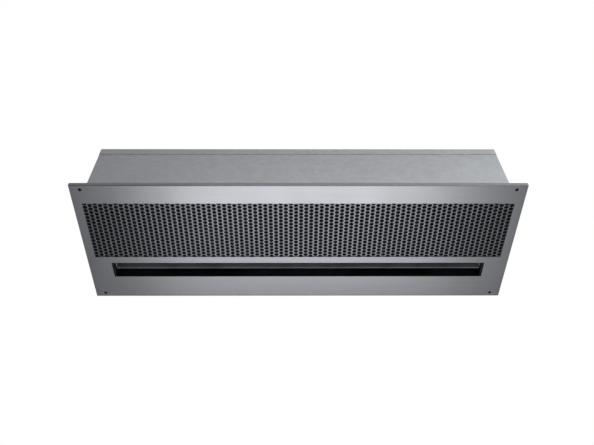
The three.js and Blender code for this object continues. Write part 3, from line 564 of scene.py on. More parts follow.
def painted(name, colour, roughness, metal=0.0):
    """A thin paint or anodic coat with fine texture, rubbed at its edges."""
    material, tree, shader = new_material(name)
    peel = add(tree, "ShaderNodeTexNoise", Vector=stretched(tree, 0.0012, 0.0012), Scale=1.0, Detail=2.0)
    cloud = effect(tree, "Handling Clouds", Size=0.08)["Cloud"]
    rub = effect(tree, "Edge Rub", Reach=0.57)["Rub"]
    coat = blended(tree, cloud, shade(colour, 0.8), shade(colour, 1.3))
    worn = sums(tree, "MULTIPLY", rub, 0.5)
    plug(tree, shader.inputs["Base Color"], blended(tree, worn, coat, (0.3, 0.3, 0.31, 1)))
    plug(tree, shader.inputs["Metallic"], sums(tree, "MAXIMUM", sums(tree, "MULTIPLY", rub, 0.8), metal))
    plug(tree, shader.inputs["Roughness"], ranged(tree, cloud, 0.0, 1.0, roughness - 0.05, roughness + 0.07))
    bumped(tree, shader, peel.outputs["Fac"], 0.00004, 0.25)
    return material


def moulded(name, colour, roughness, pore=0.0006):
    """Moulded plastic with a fine pore."""
    material, tree, shader = new_material(name)
    pores = add(tree, "ShaderNodeTexVoronoi", Vector=stretched(tree, pore, pore), Scale=1.0)
    cloud = effect(tree, "Handling Clouds", Size=0.03)["Cloud"]
    plug(tree, shader.inputs["Base Color"], blended(tree, cloud, shade(colour, 0.9), shade(colour, 1.06)))
    plug(tree, shader.inputs["Roughness"], ranged(tree, cloud, 0.0, 1.0, roughness - 0.04, roughness + 0.06))
    bumped(tree, shader, pores.outputs["Distance"], 0.00005, 0.3)
    return material


def knitted_filter(name, colour):
    """Black filter mesh: fine crossing threads with dust caught in them."""
    material, tree, shader = new_material(name)
    place = add(tree, "ShaderNodeSeparateXYZ", Vector=stretched(tree, 0.0016, 0.0016))
    waves = [sums(tree, "SINE", sums(tree, "MULTIPLY", place.outputs[axis], 2 * math.pi)) for axis in "XY"]
    threads = ranged(tree, sums(tree, "MAXIMUM", *waves), 0.2, 1.0)
    cloud = effect(tree, "Handling Clouds", Size=0.06)["Cloud"]
    lint = sums(tree, "MULTIPLY", sums(tree, "MULTIPLY", threads, cloud), 0.35)
    yarn = blended(tree, threads, shade(colour, 0.3), shade(colour, 1.4))
    plug(tree, shader.inputs["Base Color"], blended(tree, lint, yarn, (0.02, 0.02, 0.021, 1)))
    plug(tree, shader.inputs["Roughness"], ranged(tree, threads, 0.0, 1.0, 0.95, 0.8))
    bumped(tree, shader, threads, 0.0003, 0.8)
    return material


def etched_board(name, colour):
    """Green solder resist over straight copper tracks."""
    material, tree, shader = new_material(name)
    tracks = add(tree, "ShaderNodeTexBrick", {"offset": 0.37, "squash": 0.6, "squash_frequency": 3},
                 Vector=stretched(tree, 0.02, 0.02), Scale=5.0, Mortar_Size=0.035, Mortar_Smooth=0.2)
    cloud = effect(tree, "Handling Clouds", Size=0.02)["Cloud"]
    resist = blended(tree, cloud, shade(colour, 0.8), shade(colour, 1.15))
    plug(tree, shader.inputs["Base Color"], blended(tree, tracks.outputs["Fac"], resist, shade(colour, 2.2)))
    plug(tree, shader.inputs["Roughness"], ranged(tree, cloud, 0.0, 1.0, 0.3, 0.42))
    bumped(tree, shader, tracks.outputs["Fac"], 0.00004, 0.4)
    return material


FINISHES = {
    "stainless_panel": lambda name, look: satin_stainless(name, look.steel, look.steel_roughness),
    "perforated_stainless": lambda name, look: satin_stainless(
        name, look.grille_steel, look.steel_roughness + 0.04),
    "galvanised_casing": lambda name, look: galvanised(
        name, look.zinc, look.zinc_roughness, look.spangle_size),
    "galvanised_wheel": lambda name, look: galvanised(
        name, look.zinc, look.zinc_roughness, look.spangle_size / 2),
    "zinc_plated_steel": lambda name, look: plated(name, look.plate, roughness=0.32),
    "blackened_steel": lambda name, look: plated(name, look.screw, roughness=0.36),
    "black_paint": lambda name, look: painted(name, look.paint, roughness=0.5),
    "grey_aluminium": lambda name, look: painted(name, look.vane, roughness=0.5, metal=0.3),
    "filter_mesh": lambda name, look: knitted_filter(name, look.filter),
    "motor_black": lambda name, look: painted(name, look.motor, roughness=0.45, metal=0.3),
    "stator_steel": lambda name, look: plated(name, look.stator, roughness=0.45),
    "nylon": lambda name, look: moulded(name, look.nylon, roughness=0.42),
    "circuit_board": lambda name, look: etched_board(name, look.board),
    "capacitor_white": lambda name, look: moulded(name, look.capacitor, roughness=0.38, pore=0.001),
    "gland_grey": lambda name, look: moulded(name, look.gland, roughness=0.5),
}


def finish(slot):
    """The finished material of one of the record's slots."""
    name = f"finished_{slot}"
    return bpy.data.materials.get(name) or FINISHES[slot](name, bpy.context.scene.air_curtain_colours)


# ---------------------------------------------------------------- pieces


def round_edges(obj, width):
    """Breaks the piece's sharp edges."""
    bevel = obj.modifiers.new("Broken edges", "BEVEL")
    bevel.width = width
    bevel.segments = 2
    bevel.limit_method = "ANGLE"
    bevel.angle_limit = math.radians(40)
    bevel.harden_normals = True


def steady_flats(obj):
    """Keeps wide flat faces flat where they run into a bend."""
    weights = obj.modifiers.new("Steady flats", "WEIGHTED_NORMAL")
    weights.mode = "FACE_AREA"
    weights.keep_sharp = True


def piece(name, part, slot, body="unit", stands_for=(), edge=0.0, sharp=35):
    """A finished piece of the object from a mesh part."""
    mesh = bpy.data.meshes.new(name)
    mesh.from_pydata(part[0], [], part[1])
    work = bmesh.new()
    work.from_mesh(mesh)
    bmesh.ops.remove_doubles(work, verts=work.verts, dist=1e-6)
    bmesh.ops.dissolve_degenerate(work, edges=work.edges, dist=1e-7)
    bmesh.ops.recalc_face_normals(work, faces=work.faces)
    work.to_mesh(mesh)
    work.free()
    mesh.polygons.foreach_set("use_smooth", [True] * len(mesh.polygons))
    mesh.set_sharp_from_angle(angle=math.radians(sharp))
    obj = bpy.data.objects.new(name, mesh)
    bpy.context.scene.collection.objects.link(obj)
    mesh.materials.append(finish(slot))
    if edge:
        round_edges(obj, edge)
    steady_flats(obj)
    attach(obj, body)
    if stands_for:
        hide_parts(*stands_for)
    return obj


def dress(edge, *nodes):
    """Gives solids of the frame the finish of their own slots, and broken edges."""
    slots = {part["node"]: part["material_slot"] for part in frame["record"]["subparts"]}
    for node in nodes:
        obj = frame["nodes"][node]
        obj.data.materials.clear()
        obj.data.materials.append(finish(slots[node]))
        if edge:
            round_edges(obj, edge)


# ---------------------------------------------------------------- properties


def length(name, text, default):
    """A length that a user may change."""
    return FloatProperty(name=name, description=text, default=default, min=0, unit="LENGTH", precision=5)


def share(name, text, default):
    """A share, from nothing to one, that a user may change."""
    return FloatProperty(name=name, description=text, default=default, min=0, max=1, subtype="FACTOR")


def colour(name, text, default):
    """A colour that a user may change."""
    return FloatVectorProperty(name=name, description=text, default=default, size=3, min=0, max=1,
                               subtype="COLOR")


class AirCurtainSizes(bpy.types.PropertyGroup):
    """Sizes of the fine detail."""

    panel_bend: length("Panel Bend", "Outer radius of the panel's folded edge", 2.2 * MM)
    panel_corner: length("Panel Corner", "Radius of the panel's upright corners", 1.2 * MM)
    cover_bend: length("Cover Bend", "Outer radius of the folded casing sheets", 2.4 * MM)
    window_corner: length("Window Corner", "Radius in the corners of window and slot", 0.8 * MM)
    hole_width: length("Hole Width", "Across the oval holes of the intake grille", 10.5 * MM)
    hole_height: length("Hole Height", "Along the columns of holes", 9.3 * MM)
    hole_pitch_x: length("Column Pitch", "Between two columns of holes", 12.08 * MM)
    hole_pitch_y: length("Hole Pitch", "Between two holes of a column", 10.2 * MM)
    broken_edge: length("Broken Edge", "Width of the broken edges of cut sheet", 0.25 * MM)
    hole_columns: IntProperty(name="Columns", description="Columns of holes in the grille", default=84, min=2)
    hole_rows: IntProperty(name="Rows", description="Holes in the shorter columns", default=16, min=1)
    blade_count: IntProperty(name="Blades", description="Blades of a fan wheel", default=40, min=3)


class AirCurtainColours(bpy.types.PropertyGroup):
    """Colours and sheens of the finishes."""

    steel: colour("Steel", "Satin stainless of the panel", (0.40, 0.411, 0.436))
    grille_steel: colour("Grille Steel", "Satin stainless of the grille", (0.245, 0.256, 0.282))
    zinc: colour("Zinc", "Galvanised casing", (0.44, 0.453, 0.475))
    plate: colour("Zinc Plate", "Nuts, rails and brackets", (0.52, 0.52, 0.5))
    # Blackened heads, whose dark colour also paints the shade of a recessed head.
    screw: colour("Screw", "Blackened panel screws", (0.045, 0.045, 0.05))
    # Black paint, so dark that it also paints the shade deep inside the slot.
    paint: colour("Black Paint", "Inside of the nozzle", (0.005, 0.0055, 0.007))
    vane: colour("Vane", "Grey vane", (0.40, 0.42, 0.47))
    # Black mesh, so dark that it also paints the shade behind the grille's holes.
    filter: colour("Filter", "Mesh behind the grille", (0.003, 0.0034, 0.0044))
    motor: colour("Motor", "Motor cups", (0.02, 0.02, 0.022))
    stator: colour("Stator", "Motor cores and sleeves", (0.25, 0.26, 0.27))
    nylon: colour("Nylon", "Bushes and terminals", (0.7, 0.68, 0.62))
    board: colour("Board", "Solder resist of the control board", (0.03, 0.12, 0.06))
    capacitor: colour("Capacitor", "Motor capacitors", (0.72, 0.72, 0.7))
    gland: colour("Gland", "Cable gland", (0.18, 0.19, 0.2))
    steel_roughness: share("Steel Roughness", "Of the satin steel", 0.36)
    zinc_roughness: share("Zinc Roughness", "Of the zinc coat", 0.58)
    spangle_size: length("Spangle", "Size of the zinc crystals", 9 * MM)


# ---------------------------------------------------------------- studio


def camera_matrix(place, pitch, yaw, roll):
    """Where the camera stands and how it is turned."""
    forward = Vector((math.sin(yaw) * math.cos(pitch), math.cos(yaw) * math.cos(pitch), math.sin(pitch)))
    right = Vector((math.cos(yaw), -math.sin(yaw), 0.0))
    up = right.cross(forward)
    right, up = right * math.cos(roll) + up * math.sin(roll), up * math.cos(roll) - right * math.sin(roll)
    return Matrix.Translation(place) @ Matrix((right, up, -forward)).transposed().to_4x4()


def lamp(name, place, target, size, power):
    """A soft rectangular lamp that the camera doesn't see."""
    data = bpy.data.lights.new(name, "AREA")
    data.shape = "RECTANGLE"
    data.size, data.size_y = size
    data.energy = power
    obj = bpy.data.objects.new(name, data)
    obj.location = place
    obj.rotation_euler = (Vector(target) - Vector(place)).to_track_quat("-Z", "Y").to_euler()
    obj.visible_camera = False
    bpy.context.scene.collection.objects.link(obj)


def studio_world(ambient, front_left, front_right):
    """A white backdrop that the metal shows too, a dimmer front of the room, and a lower level as light."""
    world = bpy.data.worlds.new("Studio")
    world.use_nodes = True
    tree = world.node_tree
    tree.nodes.clear()
    path = tree.nodes.new("ShaderNodeLightPath")
    way = tree.nodes.new("ShaderNodeTexCoord").outputs["Generated"]
    toward = add(tree, "ShaderNodeSeparateXYZ", Vector=way)
    front = ranged(tree, toward.outputs["X"], -0.42, 0.1, front_left, front_right)
    room = ranged(tree, toward.outputs["Y"], -0.55, 0.1, front, 1.0)
    mirrored = sums(tree, "MAXIMUM", path.outputs["Is Glossy Ray"], path.outputs["Is Transmission Ray"])
    seen = sums(tree, "MAXIMUM", path.outputs["Is Camera Ray"], sums(tree, "MULTIPLY", mirrored, room))
    strength = sums(tree, "MAXIMUM", seen, ambient)
    light = add(tree, "ShaderNodeBackground", Color=(1, 1, 1, 1), Strength=strength)
    output = tree.nodes.new("ShaderNodeOutputWorld")
    tree.links.new(light.outputs[0], output.inputs["Surface"])
    bpy.context.scene.world = world


FLOOR_HEIGHT = -2.4
FLOOR_HALF = 12.0
# Middle of the pool of light painted on the floor.
PAINTED_POOL_MIDDLE = (0.45, 1.0, FLOOR_HEIGHT)


def floor_material():
    """A pale floor. What the metal shows of it is a painted pool of light, darker away from the middle of the
    studio.
    """
    material, tree, shader = new_material("pale_floor")
    place = tree.nodes.new("ShaderNodeTexCoord").outputs["Object"]
    away = add(tree, "ShaderNodeVectorMath", {"operation": "DISTANCE"}, Vector=place)
    away.inputs[1].default_value = PAINTED_POOL_MIDDLE
    # Painted pool of light: the colour that reflections see darkens with distance from the pool's middle.
    painted_pool_fade = ranged(tree, away.outputs["Value"], 1.0, 2.7)
    mirrored = blended(tree, painted_pool_fade, (0.54, 0.54, 0.545, 1), (0.2, 0.2, 0.206, 1))
    seen = tree.nodes.new("ShaderNodeLightPath").outputs["Is Camera Ray"]
    plug(tree, shader.inputs["Base Color"], blended(tree, seen, mirrored, (0.88, 0.88, 0.885, 1)))
    shader.inputs["Roughness"].default_value = 0.9
    return material


class AIRCURTAIN_OT_stage(bpy.types.Operator):
    """Sets up the camera, the floor, the lamps and the world"""

    bl_idname = "air_curtain.stage"
    bl_label = "Build Studio"

    def execute(self, context):
        scene = context.scene
        scene.view_settings.view_transform = "Standard"
        data = bpy.data.cameras.new("Camera")
        data.sensor_width = 36
        data.lens = 39.0861
        data.clip_end = 50
        camera = bpy.data.objects.new("Camera", data)
        place = (-14.2 * MM, -1031.7 * MM, -1205.4 * MM)
        pitch, yaw, roll = math.radians(51.4028), math.radians(0.6195), math.radians(-0.4939)
        camera.matrix_world = camera_matrix(place, pitch, yaw, roll)
        scene.collection.objects.link(camera)
        scene.camera = camera

        mesh = bpy.data.meshes.new("floor")
        corners = [(x * FLOOR_HALF, y * FLOOR_HALF) for x, y in ((-1, -1), (1, -1), (1, 1), (-1, 1))]
        mesh.from_pydata(lifted(corners, FLOOR_HEIGHT), [], [[0, 1, 2, 3]])
        mesh.materials.append(floor_material())
        floor = bpy.data.objects.new("floor", mesh)
        scene.collection.objects.link(floor)

        lamp("panel_light", (0.03, 0.68, -1.3), target=(0, 0, 0), size=(1.35, 0.8), power=6.6)
        lamp("key_light", (2.5, -1.4, 1.0), target=(0.3, -0.1, 0.1), size=(1.4, 1.4), power=48)
        lamp("low_light", (0.18, -0.7, 0.12), target=(0.14, -0.14, 0.05), size=(1.05, 0.12), power=1.7)
        lamp("rear_light", (-1.2, 2.2, 1.6), target=(0, 0, 0.1), size=(1.6, 1.2), power=30)
        studio_world(ambient=0.35, front_left=0.22, front_right=0.68)
        return {"FINISHED"}


# ---------------------------------------------------------------- panel and intake


class AIRCURTAIN_OT_panel(bpy.types.Operator):
    """Builds the folded front panel with its window, slot and countersunk screw seats"""

    bl_idname = "air_curtain.panel"
    bl_label = "Build Front Panel"

    def execute(self, context):
        sizes = context.scene.air_curtain_sizes
        base, lip = PANEL_LOW[2], PANEL_HIGH[2] + LIP_RISE
        rim = tray_rim(PANEL_HIGH[0], PANEL_LOW[1], PANEL_HIGH[1], base, lip, SHEET, sizes.panel_bend,
                       sizes.panel_corner)
        holes = []
        for half_x, front, rear in ((WINDOW_X, WINDOW_FRONT, WINDOW_REAR), (SLOT_X, SLOT_FRONT, SLOT_REAR)):
            def outline(growth):
                return rounded_rectangle(half_x + growth, front - growth, rear + growth,
                                         sizes.window_corner + growth)

            holes.append(hole_levels(outline, base, 1, SHEET, sizes.broken_edge))
        for place in CORNERS:
            node = f"panel_screw_{place}"
            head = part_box(node)[1][0] - middle(node)[0]
            seat = ((head + 0.5 * MM, 0.0), (head + 0.35 * MM, 0.1 * MM), (head * 0.6, SHEET))
            holes.append([(circle(radius, 32, *middle(node)), base + height) for radius, height in seat])
        piece("panel_tray", sheet(rim, holes), "stainless_panel", stands_for=("front_panel",))
        return {"FINISHED"}


def perforated_cell(x, y, pitch_x, pitch_y, half_wide, half_high, low, high):
    """One cell of the grille: a patch of sheet round one oval hole, with the hole's lower edge broken."""
    half_x, half_y = pitch_x / 2, pitch_y / 2
    corner = math.atan2(half_y, half_x)
    quarter = [0, corner / 2, corner, (corner + math.pi / 2) / 2]
    angles = quarter + [math.pi - a for a in (math.pi / 2, quarter[3], quarter[2], quarter[1])]
    angles += [math.pi + a for a in angles]
    border = [(half_x, 0), (half_x, half_y), (0, half_y), (-half_x, half_y),
              (-half_x, 0), (-half_x, -half_y), (0, -half_y), (half_x, -half_y)]
    broken = 0.15 * MM
    rings = ((broken, low), (0, low + broken), (0, high))
    points = [(x + (half_wide + grow) * math.cos(a), y + (half_high + grow) * math.sin(a), z)
              for grow, z in rings for a in angles]
    faces = ribbon([angles] * len(rings))[1]
    for ring, z in ((0, low), (len(rings) - 1, high)):
        first = len(points)
        points += [(x + a, y + b, z) for a, b in border]
        for k in range(len(border)):
            hole = [ring * len(angles) + (2 * k + step) % len(angles) for step in (2, 1, 0)]
            faces.append(hole + [first + k, first + (k + 1) % len(border)])
    return points, faces


class AIRCURTAIN_OT_grille(bpy.types.Operator):
    """Builds the perforated intake grille and dresses the filter and its retainers"""

    bl_idname = "air_curtain.grille"
    bl_label = "Build Intake Grille"

    def execute(self, context):
        sizes = context.scene.air_curtain_sizes
        low, high = GRILLE_LOW[2], GRILLE_HIGH[2]
        centre = (WINDOW_FRONT + WINDOW_REAR) / 2
        pitch_x, pitch_y = sizes.hole_pitch_x, sizes.hole_pitch_y
        columns, rows = sizes.hole_columns, sizes.hole_rows
        parts = []
        field_x = columns * pitch_x / 2
        field_y = (rows + 1) * pitch_y / 2
        for column in range(columns):
            x = (column - (columns - 1) / 2) * pitch_x
            count = rows + 1 if column % 2 == 0 else rows
            for row in range(count):
                y = centre + (row - (count - 1) / 2) * pitch_y
                parts.append(perforated_cell(x, y, pitch_x, pitch_y, sizes.hole_width / 2,
                                             sizes.hole_height / 2, low, high))
            if count == rows:
                for end in (-1, 1):
                    near, far = centre + end * (field_y - pitch_y / 2), centre + end * field_y
                    xs = spread(x - pitch_x / 2, x + pitch_x / 2, 2)
                    outline = [(across, near) for across in xs] + [(across, far) for across in xs[::-1]]
                    points = lifted(outline, low) + lifted(outline, high)
                    parts.append((points, [[0, 1, 2, 3, 4, 5], [6, 7, 8, 9, 10, 11]]))
        front, rear = centre - field_y, centre + field_y
        inner = [(x, front) for x in spread(-field_x, field_x, columns * 2)]
        inner += [(field_x, y) for y in spread(front, rear, (rows + 1) * 2)[1:]]
        inner += [(x, rear) for x in spread(field_x, -field_x, columns * 2)[1:]]
        inner += [(-field_x, y) for y in spread(rear, front, (rows + 1) * 2)[1:-1]]
        outer = [(GRILLE_HIGH[0], GRILLE_LOW[1]), (GRILLE_HIGH[0], GRILLE_HIGH[1]),
                 (GRILLE_LOW[0], GRILLE_HIGH[1]), (GRILLE_LOW[0], GRILLE_LOW[1])]
        parts += [filled([outer, inner], height) for height in (low, high)]
        parts.append(ribbon([lifted(outer, low), lifted(outer, high)]))
        piece("perforated_sheet", merged(*parts), "perforated_stainless", stands_for=("intake_grille",))
        dress(0.0, "air_filter")
        dress(0.2 * MM, "grille_retainer_front", "grille_retainer_rear")
        return {"FINISHED"}


class AIRCURTAIN_OT_panel_screws(bpy.types.Operator):
    """Builds the four countersunk cross recess screws and dresses their weld nuts"""

    bl_idname = "air_curtain.panel_screws"
    bl_label = "Build Panel Screws"

    def execute(self, context):
        arm, web = 0.62, 0.14  # shares of the head's radius
        recess_depth = 2.4 * MM
        cross = []
        for quarter in range(4):
            turn = Matrix.Rotation(quarter * math.pi / 2 + 0.4, 2)
            cross += [turn @ Vector(point) for point in ((web, web), (arm, web), (arm, -web))][::-1]
        for place in CORNERS:
            node = f"panel_screw_{place}"
            low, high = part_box(node)
            x, y = middle(node)
            head, end = (high[0] - low[0]) / 2, high[2]
            shank = head / 2
            face = low[2] + 0.02 * MM
            recess = [([(x + p.x * head * taper, y + p.y * head * taper) for p in cross], face + depth)
                      for taper, depth in ((1.0, 0.0), (0.6, recess_depth))]
            profile = [(head, face), (head, face + 0.1 * MM), (shank + 0.1 * MM, face + SCREW_HEAD_DEPTH)]
            profile += thread(shank, -0.3 * MM, low[2] + SCREW_HEAD_DEPTH + 0.2 * MM, end, 0.7 * MM)
            body = ribbon([lifted(circle(radius, 32, x, y), height) for radius, height in profile])
            top = filled([circle(head, 32, x, y), recess[0][0]], face)
            tip = filled([circle(shank, 32, x, y)], end)
            walls = ribbon([lifted(outline, height) for outline, height in recess])
            floor = filled([recess[1][0]], recess[1][1])
            piece(f"cross_screw_{place}", merged(body, top, tip, walls, floor), "blackened_steel",
                  stands_for=(node,), sharp=25)
            dress(0.2 * MM, f"weld_nut_{place}")
        return {"FINISHED"}


# ---------------------------------------------------------------- casing


class AIRCURTAIN_OT_casing(bpy.types.Operator):
    """Builds the folded walls, end plates and top cover"""

    bl_idname = "air_curtain.casing"
    bl_label = "Build Casing"

    def execute(self, context):
        sizes = context.scene.air_curtain_sizes
        bend = sizes.cover_bend - SHEET / 2
        foot = WALL_LOW[2] + SHEET / 2
        web = WALL_LOW[1] + SHEET / 2
        flange_start = web + bend - 0.01 * MM

        def reach(point):
            return WALL_HIGH[0] - FOOT_SETBACK if abs(point.x) > flange_start else WALL_X

        for node, side in (("casing_front", -1), ("casing_rear", 1)):
            across = (WALL_HIGH[1] - FOOT_SETBACK, web, web)
            line = [(side * y, z) for y, z in zip(across, (foot, foot, WALL_HIGH[2]))]
            wall = strip(bent_line(line, bend), SHEET, lambda point: -reach(point), reach)
            piece(f"{node}_sheet", wall, "galvanised_casing", stands_for=(node,), edge=sizes.broken_edge)

        for end, side in ENDS:
            low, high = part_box(f"end_plate_{end}")
            across = (END_HIGH[0] - FOOT_SETBACK, WALL_X - SHEET / 2, WALL_X - SHEET / 2)
            line = bent_line([(side * x, z) for x, z in zip(across, (foot, foot, END_HIGH[2]))], bend)
            section = [(Vector((point.y, point.x)), Vector((way.y, way.x))) for point, way in line]
            plate = strip(section, SHEET, low[1], high[1], along="Y")
            flanges = []
            for edge in (-1, 1):
                xs = sorted((side * (WALL_X - SHEET), side * (WALL_X - CORNER_FLANGE)))
                ys = sorted((edge * high[1], edge * (high[1] - SHEET)))
                flanges.append(slab((xs[0], ys[0], low[2] + 2 * bend), (xs[1], ys[1], high[2])))
            piece(f"end_sheet_{end}", merged(plate, *flanges), "galvanised_casing",
                  stands_for=(f"end_plate_{end}",), edge=sizes.broken_edge)

        cover_sheet, slack = 0.7 * MM, 0.55 * MM
        rim = tray_rim(COVER_HIGH[0] - slack, COVER_LOW[1] + slack, COVER_HIGH[1] - slack, COVER_HIGH[2],
                       COVER_LOW[2], cover_sheet, sizes.cover_bend, 1.5 * MM, 0.3 * MM)
        bores = [(f"hanging_nut_{place}", 5.8 * MM) for place in CORNERS] + [("cable_gland", 10.3 * MM)]
        holes = [hole_levels(lambda growth: circle(radius + growth, 32, *middle(node)), COVER_HIGH[2], -1,
                             cover_sheet) for node, radius in bores]
        piece("cover_tray", sheet(rim, holes), "galvanised_casing", stands_for=("top_cover",))
        return {"FINISHED"}


class AIRCURTAIN_OT_hangers(bpy.types.Operator):
    """Builds the threaded hanging nuts and dresses the rails they stand in"""

    bl_idname = "air_curtain.hangers"
    bl_label = "Build Hanging Nuts"

    def execute(self, context):
        flange, barrel, bore, soft = 9 * MM, 5.5 * MM, 3.4 * MM, 0.35 * MM
        for place in CORNERS:
            node = f"hanging_nut_{place}"
            low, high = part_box(node)
            under, top, bottom = high[2] - 1.6 * MM, high[2], low[2]
            profile = thread(bore, 0.55 * MM, top - soft, bottom + soft, 1.25 * MM)
            profile += [
                (bore + soft, bottom), (barrel - soft, bottom), (barrel, bottom + soft), (barrel, under),
                (flange - soft, under), (flange, under + soft), (flange, top - soft), (flange - soft, top),
                (bore + soft, top), (bore, top - soft),
            ]
            piece(f"threaded_hanger_{place}", turned(profile, 40, at=(*middle(node), 0.0)),
                  "zinc_plated_steel", stands_for=(node,), sharp=25)
        dress(0.3 * MM, "hanging_rail_left", "hanging_rail_right")
        return {"FINISHED"}


# ---------------------------------------------------------------- nozzle and vane


class AIRCURTAIN_OT_nozzle(bpy.types.Operator):
    """Builds the nozzle's folded rear plate and dresses deck and ends"""

    bl_idname = "air_curtain.nozzle"
    bl_label = "Build Nozzle"

    def execute(self, context):
        bend = 1.6 * MM
        web = NOZZLE_LOW[1] + SHEET / 2
        bottom, top = NOZZLE_LOW[2] + SHEET / 2, NOZZLE_HIGH[2] - SHEET / 2
        line = [(NOZZLE_HIGH[1], bottom), (web, bottom), (web, top), (NOZZLE_HIGH[1], top)]
        plate = strip(bent_line(line, bend), SHEET, NOZZLE_LOW[0], NOZZLE_HIGH[0])
        piece("nozzle_channel", plate, "black_paint", stands_for=("nozzle_rear_plate",), edge=0.2 * MM)
        dress(0.2 * MM, "plenum_deck", "plenum_end_left", "plenum_end_right")
        return {"FINISHED"}


class AIRCURTAIN_OT_vane(bpy.types.Operator):
    """Builds the tilting vane and dresses its pins and bushes"""

    bl_idname = "air_curtain.vane"
    bl_label = "Build Vane"

    def execute(self, context):
        y, z = (VANE_LOW[1] + VANE_HIGH[1]) / 2, (VANE_LOW[2] + VANE_HIGH[2]) / 2
        half_y, half_z = (VANE_HIGH[1] - VANE_LOW[1]) / 2, (VANE_HIGH[2] - VANE_LOW[2]) / 2

        def section(shrink):
            """A lens that is fuller below, towards the rear."""
            loop = []
            for across, up in circle(1.0, 64):
                across *= abs(across) ** (-0.5 if across > 0 > up else 0.6)
                loop.append((y + (half_y - shrink) * across, z + (half_z - shrink) * up))
            return loop

        soft = 0.4 * MM
        levels = [(soft, VANE_LOW[0]), (0.0, VANE_LOW[0] + soft), (0.0, VANE_HIGH[0] - soft),
                  (soft, VANE_HIGH[0])]
        body = ribbon([lifted(section(shrink), x) for shrink, x in levels])
        caps = [filled([section(soft)], x) for x in (VANE_LOW[0], VANE_HIGH[0])]
        piece("aerofoil_vane", moved(merged(body, *caps), "X"), "grey_aluminium", body="vane",
              stands_for=("discharge_vane",))
        dress(0.0, "vane_pin_left", "vane_pin_right")
        dress(0.2 * MM, "vane_bush_left", "vane_bush_right")
        return {"FINISHED"}


# ---------------------------------------------------------------- fans


def blade_section(inner, outer, lead):
    """The curved line of one blade, hollow side forward."""
    points = []
    for part in spread(0.0, 1.0, 7):
        radius = inner + (outer - inner) * part
        angle = -lead * part * part / outer
        points.append((radius * math.cos(angle), radius * math.sin(angle)))
    return points


class AIRCURTAIN_OT_fan_wheels(bpy.types.Operator):
    """Builds the two double inlet wheels with forward curved blades"""

    bl_idname = "air_curtain.fan_wheels"
    bl_label = "Build Fan Wheels"

    def execute(self, context):
        count = context.scene.air_curtain_sizes.blade_count
        inner = WHEEL_RADIUS - BLADE_DEPTH
        outer = WHEEL_RADIUS - 0.6 * MM
        rim = WHEEL_RADIUS - 0.05 * MM
        hub = ROTOR_RADIUS + FIT_GAP
        bead = 1.4 * MM
        disc = [(hub, 0.0), (hub + 7 * MM, 0.0), (hub + 9 * MM, bead), (hub + 12 * MM, bead),
                (hub + 14 * MM, 0.0), (rim, 0.0)]
        thick = 0.75 * MM
        disc_profile = [(radius, height - thick / 2) for radius, height in disc]
        disc_profile += [(radius, height + thick / 2) for radius, height in disc[::-1]]
        ring = [(inner, 1.0 * MM), (inner + 0.5 * MM, 0.2 * MM), (inner + 1.5 * MM, 0.0),
                (rim - 0.8 * MM, 0.0), (rim, 0.8 * MM), (rim, 4 * MM), (rim - 0.6 * MM, 4 * MM),
                (rim - 0.6 * MM, 1.2 * MM), (inner + 1.5 * MM, 0.9 * MM), (inner + 0.6 * MM, 1.4 * MM)]
        blade_half = WHEEL_HALF - 0.6 * MM
        blade = strip(with_sides(blade_section(inner + 0.8 * MM, outer, 6.5 * MM)), 0.7 * MM,
                      -blade_half, blade_half, along="Z")
        for end, side in ENDS:
            at = (side * FAN_X, AXIS_Y, AXIS_Z)
            parts = [turned(disc_profile + disc_profile[:1], 96, "X", at)]
            for way in (-1, 1):
                profile = [(radius, way * (WHEEL_HALF - height)) for radius, height in ring + ring[:1]]
                parts.append(turned(profile, 96, "X", at))
            parts += [moved(blade, "X", at, 2 * math.pi * i / count) for i in range(count)]
            piece(f"bladed_wheel_{end}", merged(*parts), "galvanised_wheel", body=f"fan_{end}",
                  stands_for=(f"fan_wheel_{end}",))
        return {"FINISHED"}


def scroll_point(swept, outside):
    """A point of the scroll's spiral, at an angle swept from the tongue."""
    radius = (WHEEL_RADIUS + CUTOFF_GAP) * math.exp(SCROLL_GROWTH * swept) + outside
    angle = -CUTOFF_ANGLE - swept
    return (AXIS_Y + radius * math.cos(angle), AXIS_Z + radius * math.sin(angle))


